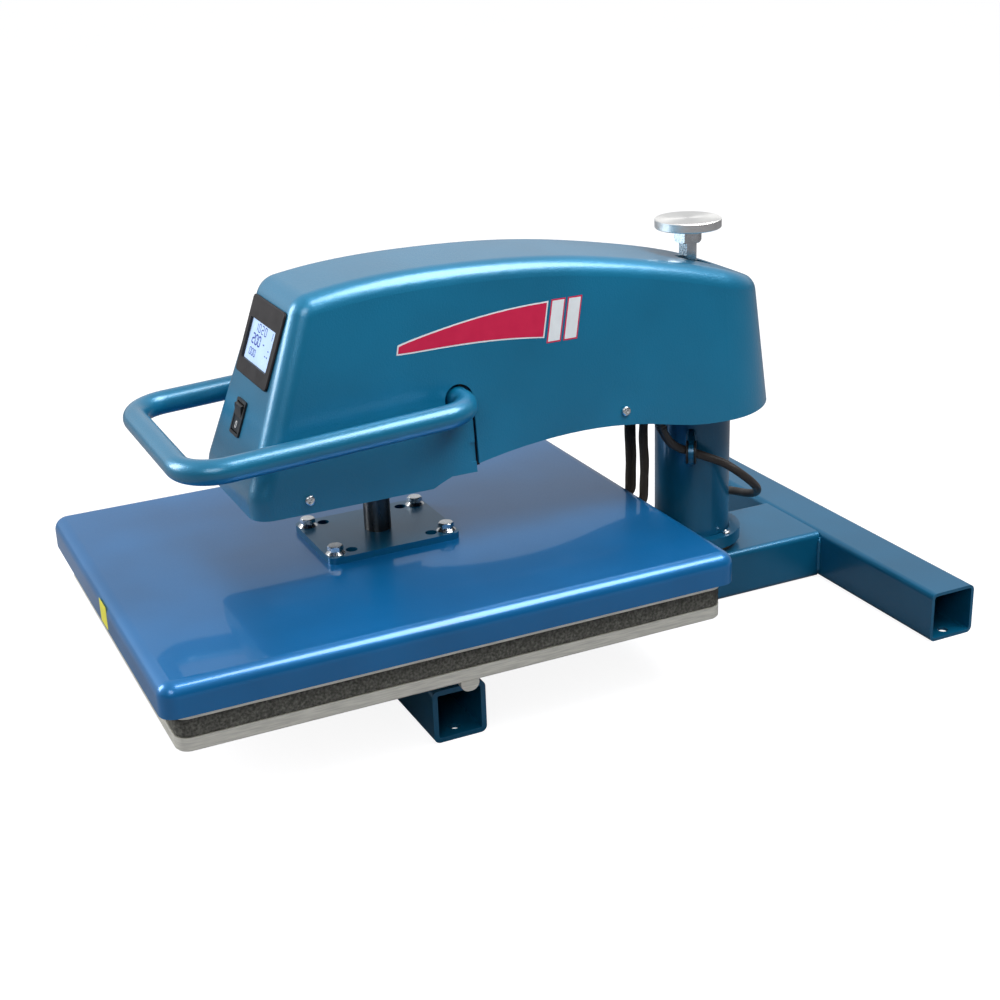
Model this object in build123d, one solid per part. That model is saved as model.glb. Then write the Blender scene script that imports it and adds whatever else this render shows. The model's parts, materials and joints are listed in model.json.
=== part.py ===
from build123d import *
import math
import os

# Swing-away heat press.  Millimetres.  The origin is on the bench under the swing column's axis,
# +X is the operator's right, +Y is the back of the press and +Z is up.
# The rest pose is closed: handle down, platen on the pad, head in line with the base.

# ---- driving dimensions ----------------------------------------------------------------

# heat platen and the stack under it
PLATEN_X = 406.4            # platen across the press
PLATEN_Y = 508.0            # platen front to back
THROAT = 92.6               # rear edge of the platen to the column axis
PLATEN_CORNER = 12.0        # corner radius of the pad and both platens in plan
HEAT_T = 19.0               # heated aluminium platen
PAD_T = 16.4                # silicone foam pad
PAD_GAP = 0.3               # pad to heated platen at rest
LOWER_T = 12.7              # lower platen
RISER_H = 17.5              # risers between the base tubes and the lower platen
RISER_R = 16.0
STUD_R = 5.0                # studs that hold the lower platen
STUD_DEPTH = 9.0            # stud inside the lower platen
INSULATION_T = 13.5         # board between the heated platen and its cover
COVER_SHEET = 1.6           # sheet metal of the platen cover
COVER_SIDE_X = 5.8          # platen side to the cover's outer face
COVER_SIDE_Y = 11.0         # platen front and rear to the cover's outer face
COVER_LIFT = 5.3            # platen underside to the cover's rim
COVER_ROUND = 12.0          # round of the cover's top edge
COVER_CORNER = 14.0         # cover's corner radius in plan
MOUNT_X, MOUNT_Y, MOUNT_T = 101.6, 130.0, 6.35
MOUNT_BACK = 1.4            # mount plate's centre in front of the platen's centre
BOLT_X, BOLT_Y = 76.0, 110.0    # platen bolts, hole to hole
SPARE_Y = 79.0              # second row of holes in the mount plate
BOLT_R = 5.0
BOLT_DEPTH = 12.0           # bolt inside the heated platen
BOLT_FLATS, BOLT_HEAD_T, BOLT_TURN = 12.7, 7.6, 10.0
FLANGE_R, FLANGE_T = 9.2, 3.0
LUG_W, LUG_DROP, LUG_T = 17.0, 10.0, 9.0   # hand lug cast under the lower platen's sides

# base
TUBE = 50.8                 # square tube
TUBE_CORNER = 6.0
FRONT_LEN, FRONT_WALL = 352.0, 4.8
REAR_LEN, REAR_WALL = 461.6, 3.2
REAR_Y = 152.2              # rear cross tube's centre behind the column axis
SPINE_W, SPINE_WALL = 101.6, 4.8
HOLE_R = 5.0                # bench bolt holes
FRONT_HOLE_IN, REAR_HOLE_IN = 14.0, 11.6   # hole centre to the tube's end
RISER_X = 110.0             # risers on the front tube, each side of the middle
SPINE_RISER_X = 30.0
SPINE_RISER_Y = 146.6       # risers on the spine, behind the platen's centre

# swing column
POST_R, POST_WALL = 25.4, 6.4
COLUMN_R, COLUMN_WALL = 38.1, 6.35
WASHER_OUT, WASHER_T = 3.9, 7.2     # washer's edge outside the column
COLLAR_OUT, COLLAR_H = 11.9, 12.0   # collar's wall round the column
BUSH_H = 30.0
RUN = 0.05                  # radial clearance of a running fit
CAP_T = 16.0
FULCRUM_Y, FULCRUM_UP = 25.0, 61.0   # fulcrum pin behind the axis, above the head's lower edge
FULCRUM_R = 8.0

# head
HEAD_CLEAR = 58.85          # mount plate's top to the head cover's lower edge
HEAD_SIDE = 32.0            # side plate's outer face to the cover's outer face, at the lower edge
HEAD_DRAFT = 0.12           # the cover's sides lean in by this much per millimetre of height
HEAD_WALL = 3.0
HEAD_NOSE = 139.4           # platen centre to the cover's front face
HEAD_EDGE = 18.0            # round of the cover's long edges
REAR_IN = 3.5               # centre of the cover's round rear, in front of the column axis
SLOPE = 0.365               # the front face leans back by this much per millimetre of height
SLOPE_START = 18.0          # the lean starts this far above the cover's lower edge
PLATE_GAP = 1.9             # column to side plate
PLATE_T = 6.0
SPACER_R, SPACER_BOLT_R = 8.0, 4.0
SCREW_HOLE_R = 2.5          # cover screws
NOSE_R, CROWN_R = 40.0, 22.0    # rounds below and above the sloped front
KNOB_SLOT_L, KNOB_SLOT_W = 37.6, 22.4

# Outlines of the arm, seen from the side.  In the first list of each pair, a point is its share of
# the way from the column axis to the platen's centre, and its height above the cover's lower edge;
# in the second list its first number is millimetres behind the column axis.
CREST = [(1.0, 192.0), (0.788, 192.7), (0.574, 189.0), (0.369, 180.0), (0.208, 169.6), (0.072, 159.0)]
CREST_REAR = [(14.0, 147.5), (48.0, 134.5), (110.0, 104.0)]
CREST_FRONT = [(0.0, 182.0), (-48.0, 187.6)]    # behind the sloped front, behind the platen's centre
BELLY = [(0.871, 7.5), (0.768, 16.6), (0.565, 25.6), (0.433, 26.3), (0.263, 20.0), (0.127, 11.2)]
BELLY_FRONT, BELLY_REAR = 27.0, [(8.0, 9.0), (110.0, 11.0)]
PLATE_UNDER = [(0.49, 33.0), (0.29, 31.0), (0.09, 25.0)]
PLATE_REAR = [(36.0, 25.0), (36.0, 103.0), (20.0, 125.0)]
PLATE_OVER = [(0.43, 148.0), (0.89, 171.0)]

# toggle linkage
LINK = 40.0                 # upper link, lower link and crank, pin to pin
UPPER_PIVOT_UP = 148.0      # fixed upper pin above the head's lower edge
HANDLE_BACK, HANDLE_UP = 59.6, 76.0   # handle pivot behind the platen centre, above the edge
LINK_W = 21.0
KNEE_R, PIN_R, SHAFT_R = 6.0, 7.0, 12.7
CRANK_PIN_R = 5.0
TONGUE_T = 12.0             # upper link and the shaft's tongue
LINK_T = 6.5
SIDE_PLAY = 0.3             # play between neighbouring links
BLOCK_Y, BLOCK_H, BLOCK_UP = 41.0, 37.0, 2.0   # guide block of the shaft
BUSH_WALL = 3.2

# handle
TUBE_R, TUBE_WALL = 11.0, 2.4
GRIP_OUT = 27.3             # head cover to the centre of the handle's arm
GRIP_FORWARD, GRIP_DROP = 258.7, 14.0  # handle pivot to the cross bar
GRIP_BEND, ARM_BEND = 36.0, 30.0
SLOT_W, SLOT_GAP = 27.5, 2.4     # slot in the cover for the handle, and play of the plate that closes it
NOTCH_DEPTH = 1.3           # notch in that plate

# pressure knob
KNOB_Y = -7.0
KNOB_R, KNOB_T = 32.5, 9.0
KNOB_TOP_UP = 194.0         # knob's top above the head's lower edge
NUT_FLATS, NUT_H, NUT_TURN = 24.0, 14.0, 15.0
STEM_FLATS, STEM_TURN = 16.4, 23.0
HEX_CHAMFER = 1.2
SCREW_R = 8.0
COLLAR_GAP = 1.3            # screw collar above the bridge

# controls on the sloped front
BEZEL_W, BEZEL_H, BEZEL_T = 85.0, 70.8, 2.6
WINDOW_W, WINDOW_H = 68.5, 37.2
BEZEL_UP, SWITCH_UP = 136.3, 69.0     # centres above the head's lower edge
WINDOW_DOWN = 2.9
LCD_W, LCD_H, LCD_T = 74.0, 50.0, 6.0
SWITCH_X = -8.0
SWITCH_W, SWITCH_H = 24.0, 33.0
ROCKER_W, ROCKER_R, ROCKER_DEPTH = 17.6, 13.3, 3.0
ROCKER_PLAY = 0.4
ROCKER_ANGLE = 16.0

# cords
CORD_D = 8.5
CABLES = [(-5.0, 6.0), (21.5, 5.2)]   # heater cables: place across the press, radius
CABLE_Y_GAP = 12.0          # cover's rear face to the cables' middle
EYE_ANGLE = -33.0           # plan angle of the cord eye round the column
EYE_R, EYE_ROUND, EYE_T, EYE_HOLE = 19.0, 12.8, 5.0, 9.0    # half width at the column and at the hole
EYE_OUT, EYE_UP = 16.3, 168.0        # hole's centre outside the column, and above the bench
GROMMET_R, GROMMET_LIP = 5.0, 2.6
GLAND_OUT, GLAND_Y, GLAND_R = 8.0, -72.0, 6.2    # gland outside the side plate
CABLE_UP = 17.3             # heated platen's underside to the cables' entry
ELEMENT_R = 4.1             # tubular heating element cast into the platen
COIL_CENTRE = (-150.0, -12.0)
COIL_TURNS = [39.5, 48.0, 56.5]
PLUG_L, PLUG_W, PLUG_H = 38.0, 26.0, 22.0

# The cord from the gland to the eye, and from the eye round the column to the coil.
DROP_ROUTE = [(54, -72, 246), (54, -72, 214), (53.2, -67.6, 199.7), (51, -59.5, 187.2),
              (47.8, -47.7, 177), (46.3, -30, 168.8), (50.5, -13, 161)]
LEAD_ROUTE = [(50.5, -13, 161), (54.7, 4, 153.2), (61.5, 17.5, 142.5), (62, 32, 130), (54.5, 44.5, 118),
              (40.5, 52.5, 107.5), (22, 56.5, 99), (-2, 58.5, 93), (-27, 59, 86.5), (-50, 59, 75),
              (-70, 58.5, 58.5), (-88, 57, 41), (-107, 54, 26), (-127, 50, 16), (-146, 46, 12.8),
              (-162, 42.5, 12.75)]
TAIL_ROUTE = [(-203.1, -31.4, 4.25), (-199, -46, 4.25), (-190, -62, 4.25), (-176, -77, 4.25),
              (-158, -88, 4.25)]

# ---- places worked out from those sizes ------------------------------------------------

PLATEN_YC = -(PLATEN_Y / 2 + THROAT)
Z_LOWER = TUBE + RISER_H
Z_PAD = Z_LOWER + LOWER_T
Z_HEAT = Z_PAD + PAD_T + PAD_GAP
Z_BOARD = Z_HEAT + HEAT_T
Z_SHEET = Z_BOARD + INSULATION_T
Z_COVER = Z_SHEET + COVER_SHEET
Z_MOUNT = Z_COVER + MOUNT_T
Z_HEAD = Z_MOUNT + HEAD_CLEAR

WASHER_R = COLUMN_R + WASHER_OUT
COLLAR_R = COLUMN_R + COLLAR_OUT
PLATE_IN = COLUMN_R + PLATE_GAP
PLATE_OUT = PLATE_IN + PLATE_T
HEAD_HALF = PLATE_OUT + HEAD_SIDE
HEAD_FRONT = PLATEN_YC - HEAD_NOSE

PIVOT = (PLATEN_YC + HANDLE_BACK, Z_HEAD + HANDLE_UP)
UPPER = (PLATEN_YC, Z_HEAD + UPPER_PIVOT_UP)
KNEE = (UPPER[0], UPPER[1] - LINK)
LOWER = (UPPER[0], UPPER[1] - 2 * LINK)
CRANK = (PIVOT[0], PIVOT[1] - LINK)

COLUMN_BASE = TUBE + WASHER_T
COLUMN_TOP = Z_HEAD + 99.0
BORE_R = COLUMN_R - COLUMN_WALL
POST_TOP = Z_HEAD + 45.0
FULCRUM = (FULCRUM_Y, Z_HEAD + FULCRUM_UP)
BRIDGE_Z, BRIDGE_T = COLUMN_TOP + 12.0, 6.0
COLLAR_Z = BRIDGE_Z + BRIDGE_T + COLLAR_GAP
SCREW_COLLAR_T = 6.0
KNOB_TOP = Z_HEAD + KNOB_TOP_UP
NUT_Z = KNOB_TOP - KNOB_T - NUT_H

CABLE_Z = Z_HEAT + CABLE_UP
GLAND_X, GLAND_Z = PLATE_OUT + GLAND_OUT, Z_HEAD + 28.0
EYE_CENTRE = COLUMN_R + EYE_OUT

ROD_X = TONGUE_T / 2 + SIDE_PLAY + LINK_T + 0.4
ROD_T = 6.0
CRANK_X = ROD_X + ROD_T + SIDE_PLAY
CRANK_T = 5.5

# ---- helpers ---------------------------------------------------------------------------


def z_cylinder(radius, z0, z1, x=0.0, y=0.0):
    return Pos(x, y, (z0 + z1) / 2) * Cylinder(radius, z1 - z0)


def x_cylinder(radius, x0, x1, place):
    return Pos((x0 + x1) / 2, place[0], place[1]) * Rot(0, 90, 0) * Cylinder(radius, x1 - x0)


def ring(outer, inner, z0, z1, x=0.0, y=0.0):
    return z_cylinder(outer, z0, z1, x, y) - z_cylinder(inner, z0 - 1, z1 + 1, x, y)


def x_ring(outer, inner, x0, x1, place):
    return x_cylinder(outer, x0, x1, place) - x_cylinder(inner, x0 - 1, x1 + 1, place)


def block(x0, x1, y0, y1, z0, z1):
    return Pos((x0 + x1) / 2, (y0 + y1) / 2, (z0 + z1) / 2) * Box(x1 - x0, y1 - y0, z1 - z0)


def slab(width, depth, corner, z0, z1, y=PLATEN_YC):
    return extrude(Pos(0, y, z0) * RectangleRounded(width, depth, corner), z1 - z0)


def hexagon(flats, z0, z1, x=0.0, y=0.0, turn=0.0):
    face = Pos(x, y, z0) * Rot(0, 0, turn) * RegularPolygon(flats / 2, 6, major_radius=False)
    return extrude(face, z1 - z0)


def hex_head(flats, z0, z1, x=0.0, y=0.0, turn=0.0):
    bar = z_cylinder(flats / math.sqrt(3), z0, z1, x, y)
    return hexagon(flats, z0, z1, x, y, turn) & chamfer(bar.edges().filter_by(GeomType.CIRCLE), HEX_CHAMFER)


def side_profile(outline, x0, x1):
    points = [(x0, y, z) for y, z in outline]
    return extrude(make_face(Polyline(points, close=True)), x1 - x0, dir=(1, 0, 0))


def link_plate(start, end, width, x0, x1, start_bore, end_bore):
    span = math.dist(start, end)
    along = ((end[0] - start[0]) / span, (end[1] - start[1]) / span)
    plane = Plane(origin=(x0, start[0], start[1]), x_dir=(0, along[0], along[1]), z_dir=(1, 0, 0))
    plate = extrude(plane * (Pos(span / 2, 0) * SlotCenterToCenter(span, width)), x1 - x0)
    plate -= x_cylinder(start_bore, x0 - 1, x1 + 1, start)
    return plate - x_cylinder(end_bore, x0 - 1, x1 + 1, end)


def mirrored(shape):
    return mirror(shape, Plane.YZ)


def pair(shape):
    return group(shape, mirrored(shape))


def group(*shapes):
    solids = [solid for shape in shapes for solid in shape.solids()]
    return solids[0] if len(solids) == 1 else Compound(children=solids)


def grid(dx, dy, x=0.0, y=0.0):
    return [(x + i * dx / 2, y + j * dy / 2) for i in (-1, 1) for j in (-1, 1)]


def route_radii(points):
    vectors = [Vector(*b) - Vector(*a) for a, b in zip(points, points[1:])]
    radii = []
    for before, after in zip(vectors, vectors[1:]):
        half_turn = math.radians(before.get_angle(after)) / 2
        radii.append(0.45 * min(before.length, after.length) / math.tan(half_turn))
    return radii


def cord_tube(points, radius, name):
    radii = route_radii(points)
    path = FilletPolyline(*points, radius=radii)
    start = Plane(origin=path @ 0, z_dir=path % 0)
    tube = sweep(start * Circle(radius), path=path)
    ideal = math.pi * radius ** 2 * path.length
    print(name, "length", round(path.length, 1), "volume share", round(tube.volume / ideal, 4),
          "radii", [round(r) for r in radii])
    return tube


# ---- base ------------------------------------------------------------------------------


def square_tube(length, wall, y):
    outer = Rectangle(TUBE, TUBE)
    outer = fillet(outer.vertices(), TUBE_CORNER)
    inner = Rectangle(TUBE - 2 * wall, TUBE - 2 * wall)
    inner = fillet(inner.vertices(), max(TUBE_CORNER - wall, 1.0))
    section = Plane(origin=(-length / 2, y, TUBE / 2), x_dir=(0, 1, 0), z_dir=(1, 0, 0)) * (outer - inner)
    return extrude(section, length)


def stud_places():
    front = [(side * RISER_X, PLATEN_YC) for side in (-1, 1)]
    rear = [(side * SPINE_RISER_X, PLATEN_YC + SPINE_RISER_Y) for side in (-1, 1)]
    return front, rear


def front_cross_tube():
    tube = square_tube(FRONT_LEN, FRONT_WALL, PLATEN_YC)
    for x in (-1, 1):
        place = x * (FRONT_LEN / 2 - FRONT_HOLE_IN)
        tube -= z_cylinder(HOLE_R, -1, FRONT_WALL + 1, place, PLATEN_YC)
    for x, y in stud_places()[0]:
        tube -= z_cylinder(STUD_R + RUN, TUBE / 2, TUBE + 1, x, y)
    return tube


def rear_cross_tube():
    tube = square_tube(REAR_LEN, REAR_WALL, REAR_Y)
    for x in (-1, 1):
        place = x * (REAR_LEN / 2 - REAR_HOLE_IN)
        tube -= z_cylinder(HOLE_R, -1, REAR_WALL + 1, place, REAR_Y)
    return tube


def base_spine_tube():
    y0, y1 = PLATEN_YC + TUBE / 2, REAR_Y - TUBE / 2
    outer = Rectangle(SPINE_W, TUBE)
    outer = fillet(outer.vertices(), TUBE_CORNER)
    inner = Rectangle(SPINE_W - 2 * SPINE_WALL, TUBE - 2 * SPINE_WALL)
    inner = fillet(inner.vertices(), 1.2)
    plane = Plane(origin=(0, y0, TUBE / 2), x_dir=(1, 0, 0), z_dir=(0, -1, 0))
    tube = extrude(plane * (outer - inner), -(y1 - y0))
    for x, y in stud_places()[1]:
        tube -= z_cylinder(STUD_R + RUN, TUBE / 2, TUBE + 1, x, y)
    return tube


def platen_risers():
    places = stud_places()[0] + stud_places()[1]
    return group(*[ring(RISER_R, STUD_R + RUN, TUBE, Z_LOWER, x, y) for x, y in places])


def riser_studs():
    studs = []
    for places, wall in zip(stud_places(), (FRONT_WALL, SPINE_WALL)):
        nut_top = TUBE - wall
        for x, y in places:
            stud = z_cylinder(STUD_R, nut_top - 12, Z_LOWER + STUD_DEPTH, x, y)
            studs.append(stud + hexagon(16.0, nut_top - 8, nut_top, x, y))
    return group(*studs)


def lower_platen():
    plate = slab(PLATEN_X, PLATEN_Y, PLATEN_CORNER, Z_LOWER, Z_PAD)
    plate = chamfer(plate.faces().sort_by(Axis.Z)[0].edges(), 1.5)
    for x, y in stud_places()[0] + stud_places()[1]:
        plate -= z_cylinder(STUD_R + RUN, Z_LOWER - 1, Z_LOWER + STUD_DEPTH + 0.5, x, y)
    side = PLATEN_X / 2
    lug = block(side - LUG_T, side - 1.5, -LUG_W / 2, LUG_W / 2, Z_LOWER - LUG_DROP, Z_LOWER + 3)
    lug = fillet(lug.edges().filter_by(Axis.X).group_by(Axis.Z)[0], LUG_W / 2 - 1)
    lug = Pos(0, PLATEN_YC, 0) * lug
    return plate + lug + mirrored(lug)


def silicone_pad():
    return slab(PLATEN_X, PLATEN_Y, PLATEN_CORNER, Z_PAD, Z_PAD + PAD_T)


def fixed_post():
    return ring(POST_R, POST_R - POST_WALL, TUBE, POST_TOP)


def thrust_washer():
    return ring(WASHER_R, POST_R + RUN, TUBE, COLUMN_BASE)


# ---- swing column ----------------------------------------------------------------------


def column_tube():
    tube = ring(COLUMN_R, BORE_R, COLUMN_BASE, COLUMN_TOP)
    return tube - x_cylinder(FULCRUM_R, -COLUMN_R - 1, COLUMN_R + 1, FULCRUM)


def column_collar():
    collar = ring(COLLAR_R, COLUMN_R, COLUMN_BASE, COLUMN_BASE + COLLAR_H)
    return fillet(collar.edges().filter_by(GeomType.CIRCLE).sort_by(Axis.Z)[-1], 2.0)


def column_bushes():
    low = ring(BORE_R, POST_R + RUN, COLUMN_BASE, COLUMN_BASE + BUSH_H)
    high = ring(BORE_R, POST_R + RUN, POST_TOP - 5 - BUSH_H, POST_TOP - 5)
    return group(low, high)


def column_cap():
    low = COLUMN_TOP - CAP_T
    return z_cylinder(BORE_R, low, COLUMN_TOP) - z_cylinder(SCREW_R + RUN, low - 1, COLUMN_TOP + 1, 0, KNOB_Y)


def fulcrum_pin():
    reach = PLATE_OUT + 6
    return x_cylinder(FULCRUM_R, -reach, reach, FULCRUM)


def pin_clips():
    return pair(x_ring(FULCRUM_R + 4, FULCRUM_R, PLATE_OUT + 1.2, PLATE_OUT + 3.2, FULCRUM))


def eye_plane():
    turn = math.radians(EYE_ANGLE)
    outward = (math.cos(turn), math.sin(turn), 0)
    centre = (EYE_CENTRE * outward[0], EYE_CENTRE * outward[1], EYE_UP)
    return Plane(origin=centre, x_dir=outward, z_dir=(-outward[1], outward[0], 0))


def cord_eye():
    inner = COLUMN_R - 1.5 - EYE_CENTRE
    foot = Polygon((inner, -EYE_R), (0, -EYE_ROUND), (0, EYE_ROUND), (inner, EYE_R), align=None)
    outline = Circle(EYE_ROUND) + foot
    tab = extrude(eye_plane() * (outline - Circle(EYE_HOLE)), EYE_T / 2, both=True)
    return tab - z_cylinder(COLUMN_R, EYE_UP - 2 * EYE_R, EYE_UP + 2 * EYE_R)


def cord_grommet():
    plane = eye_plane()
    body = extrude(plane * Circle(EYE_HOLE), EYE_T / 2, both=True)
    for side in (-1, 1):
        face = plane.offset(side * EYE_T / 2) * Circle(EYE_HOLE + GROMMET_LIP)
        lip = extrude(face, side * GROMMET_LIP)
        body += fillet(lip.edges().filter_by(GeomType.CIRCLE), 0.45 * GROMMET_LIP)
    return body - extrude(plane * Circle(GROMMET_R), EYE_T, both=True)


# ---- pressure knob ---------------------------------------------------------------------


def knob_disc():
    disc = z_cylinder(KNOB_R, KNOB_TOP - KNOB_T, KNOB_TOP, 0, KNOB_Y)
    return chamfer(disc.edges().filter_by(GeomType.CIRCLE), 0.8)


def knob_nut():
    return hex_head(NUT_FLATS, NUT_Z, KNOB_TOP - KNOB_T, 0, KNOB_Y, NUT_TURN)


def pressure_screw():
    bottom = COLUMN_TOP - CAP_T - 12
    screw = z_cylinder(SCREW_R, bottom, COLLAR_Z, 0, KNOB_Y)
    screw += z_cylinder(SCREW_R + 6, COLLAR_Z, COLLAR_Z + SCREW_COLLAR_T, 0, KNOB_Y)
    return screw + hexagon(STEM_FLATS, COLLAR_Z + SCREW_COLLAR_T, NUT_Z, 0, KNOB_Y, STEM_TURN)


# ---- head frame ------------------------------------------------------------------------


def along_arm(points):
    return [(share * PLATEN_YC, up) for share, up in points]


def side_plate():
    front, mid = HEAD_FRONT + 40, PLATEN_YC
    outline = [(front, 5), (mid + 24, 5), (mid + 76, 25), *along_arm(PLATE_UNDER), *PLATE_REAR,
               *along_arm(PLATE_OVER), (mid - 53, 171), (front, 43)]
    plate = side_profile([(y, Z_HEAD + up) for y, up in outline], PLATE_IN, PLATE_OUT)
    for place, radius in ((FULCRUM, FULCRUM_R + RUN), (UPPER, PIN_R), (PIVOT, TUBE_R + 1.0)):
        plate -= x_cylinder(radius, PLATE_IN - 1, PLATE_OUT + 1, place)
    for place in spacer_places():
        plate -= x_cylinder(SPACER_BOLT_R, PLATE_IN - 1, PLATE_OUT + 1, place)
    inside = head_form(HEAD_WALL)
    for y, z in screw_places():
        arm = block(PLATE_OUT - 0.5, HEAD_HALF, y - 9, y + 9, z - 6, z + 6)
        plate += arm & inside
    return plate


def arm_side_plates():
    plates = pair(side_plate())
    for y, z in screw_places():
        plates -= x_cylinder(SCREW_HOLE_R, -HEAD_HALF, -PLATE_OUT - 4, (y, z))
        plates -= x_cylinder(SCREW_HOLE_R, PLATE_OUT + 4, HEAD_HALF, (y, z))
    return group(*plates.solids(), gland_bracket())


def spacer_places():
    return [(PLATEN_YC - 41, Z_HEAD + 156), (0.58 * PLATEN_YC, Z_HEAD + 103),
            (0.34 * PLATEN_YC, Z_HEAD + 103)]


def screw_places():
    return [(HEAD_FRONT + 50.3, Z_HEAD + 12), (0.345 * PLATEN_YC, Z_HEAD + 37.6)]


def arm_spacers():
    return group(*[x_cylinder(SPACER_R, -PLATE_IN, PLATE_IN, place) for place in spacer_places()])


def spacer_bolts():
    bolts = []
    for place in spacer_places():
        bolt = x_cylinder(SPACER_BOLT_R, PLATE_IN, PLATE_OUT, place)
        face = Plane(origin=(PLATE_OUT, *place), z_dir=(1, 0, 0))
        bolt += extrude(face * RegularPolygon(6.5, 6, major_radius=False), 5.3)
        bolts += [bolt, mirrored(bolt)]
    return group(*bolts)


def screw_bridge():
    bridge = block(-PLATE_IN, PLATE_IN, KNOB_Y - 22, KNOB_Y + 22, BRIDGE_Z, BRIDGE_Z + BRIDGE_T)
    bridge -= z_cylinder(SCREW_R + 2, BRIDGE_Z - 1, BRIDGE_Z + BRIDGE_T + 1, 0, KNOB_Y)
    return bridge


def guide_block():
    low = Z_HEAD + BLOCK_UP
    body = block(-PLATE_IN, PLATE_IN, PLATEN_YC - BLOCK_Y / 2, PLATEN_YC + BLOCK_Y / 2, low, low + BLOCK_H)
    return body - z_cylinder(SHAFT_R + BUSH_WALL, low - 1, low + BLOCK_H + 1, 0, PLATEN_YC)


def guide_bush():
    low = Z_HEAD + BLOCK_UP
    outer = SHAFT_R + BUSH_WALL
    body = z_cylinder(outer, low, low + BLOCK_H, 0, PLATEN_YC)
    body += z_cylinder(outer + 3, low - 2, low, 0, PLATEN_YC)
    return body - z_cylinder(SHAFT_R + RUN, low - 3, low + BLOCK_H + 1, 0, PLATEN_YC)


def toggle_upper_pin():
    pin = x_cylinder(PIN_R, -PLATE_OUT, PLATE_OUT, UPPER)
    head = x_cylinder(PIN_R + 2, PLATE_OUT, PLATE_OUT + 3, UPPER)
    return pin + head + mirrored(head)


def shaft_radius():
    return TUBE_R - TUBE_WALL


def handle_bushes():
    inner = shaft_radius() + RUN
    bush = x_ring(TUBE_R + 1, inner, PLATE_IN, PLATE_OUT, PIVOT)
    bush += x_ring(TUBE_R + 3, inner, PLATE_OUT, PLATE_OUT + 2, PIVOT)
    return pair(bush)


# ---- head cover ------------------------------------------------------------------------


def slope_y(z):
    return HEAD_FRONT + SLOPE * max(0.0, z - Z_HEAD - SLOPE_START)


def slope_plane(up, x=0.0):
    z = Z_HEAD + up
    lean = math.atan(SLOPE)
    return Plane(origin=(x, slope_y(z), z), x_dir=(1, 0, 0), z_dir=(0, -math.cos(lean), math.sin(lean)))


def head_top(drop):
    base = Z_HEAD - drop
    (brow, brow_up), (crown, crown_up) = CREST_FRONT
    front = [(slope_y(base + brow_up) + drop + brow, brow_up), (PLATEN_YC + crown, crown_up)]
    return [(y, base + up) for y, up in front + along_arm(CREST) + CREST_REAR]


def head_bottom():
    outline = [(PLATEN_YC + BELLY_FRONT, 0.0)] + along_arm(BELLY) + BELLY_REAR
    return [(y, Z_HEAD + up) for y, up in outline]


def head_plan(inset, base):
    half = HEAD_HALF - inset + HEAD_DRAFT * (Z_HEAD - base)
    length = -1.3 * HEAD_FRONT
    return Pos(0, -REAR_IN, base) * (Pos(0, -length / 2) * Rectangle(2 * half, length) + Circle(half))


def head_form(inset):
    base = Z_HEAD - 30
    lean = math.degrees(math.atan(HEAD_DRAFT))
    body = extrude(head_plan(inset, base), KNOB_TOP_UP + 60, taper=lean)
    x0, rear = -1.5 * HEAD_HALF, CREST_REAR[-1][0]
    top = Spline([(x0, y, z) for y, z in head_top(inset)])
    start, end = top @ 0, top @ 1
    front = HEAD_FRONT + inset
    crease = Vector(x0, front, Z_HEAD + SLOPE_START)
    if inset:
        low = base + 2
        floor = Line((x0, front, low), (x0, rear, low))
        back = Line((x0, rear, low), end)
        nose = Line((x0, front, low), crease)
    else:
        under = Spline([(x0, y, z) for y, z in head_bottom()])
        floor = Line((x0, front, Z_HEAD), under @ 0) + under
        back = Line(under @ 1, end)
        nose = Line((x0, front, Z_HEAD), crease)
    face = make_face(nose + Line(crease, start) + top + back + floor)
    solid = body & extrude(face, 3 * HEAD_HALF, dir=(1, 0, 0))
    return round_head(solid, inset)


def is_long_edge(edge):
    centre = edge.center()
    corner = abs(centre.X) > 5 and centre.Y < HEAD_FRONT + 80 and centre.Z > Z_HEAD + 2
    along_top = centre.Z > Z_HEAD + 100 and (abs(centre.X) > 5 or centre.Y > 30)
    return corner or along_top


def round_head(solid, inset):
    nose = solid.edges().filter_by(Axis.X).filter_by(lambda e: 5 < e.center().Z - Z_HEAD < 60)
    solid = fillet(nose, NOSE_R)
    crown = solid.edges().filter_by(Axis.X).filter_by(lambda e: e.center().Z > Z_HEAD + 150)
    solid = fillet(crown, CROWN_R - inset)
    return fillet(solid.edges().filter_by(is_long_edge), HEAD_EDGE - inset)


def handle_slot(x0, x1):
    slot = x_cylinder(SLOT_W / 2, x0, x1, PIVOT)
    return slot + block(x0, x1, PIVOT[0] - SLOT_W / 2, PIVOT[0] + SLOT_W / 2, Z_HEAD - 20, PIVOT[1])


def head_cover():
    cover = head_form(0.0) - head_form(HEAD_WALL)
    for side in (-1, 1):
        x0, x1 = sorted((side * PLATE_OUT, side * (HEAD_HALF + 10)))
        cover -= handle_slot(x0, x1)
        for place in screw_places():
            cover -= x_cylinder(SCREW_HOLE_R, x0, x1, place)
    cover -= extrude(slope_plane(BEZEL_UP) * Rectangle(LCD_W + 1, LCD_H + 1), 12, both=True)
    switch = Rectangle(SWITCH_W - 2, SWITCH_H - 3)
    cover -= extrude(slope_plane(SWITCH_UP, SWITCH_X) * switch, 12, both=True)
    knob_slot = Pos(0, KNOB_Y + 6.2, Z_HEAD + 130) * Rot(0, 0, 90) * SlotOverall(KNOB_SLOT_L, KNOB_SLOT_W)
    return cover - extrude(knob_slot, 60)


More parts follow.
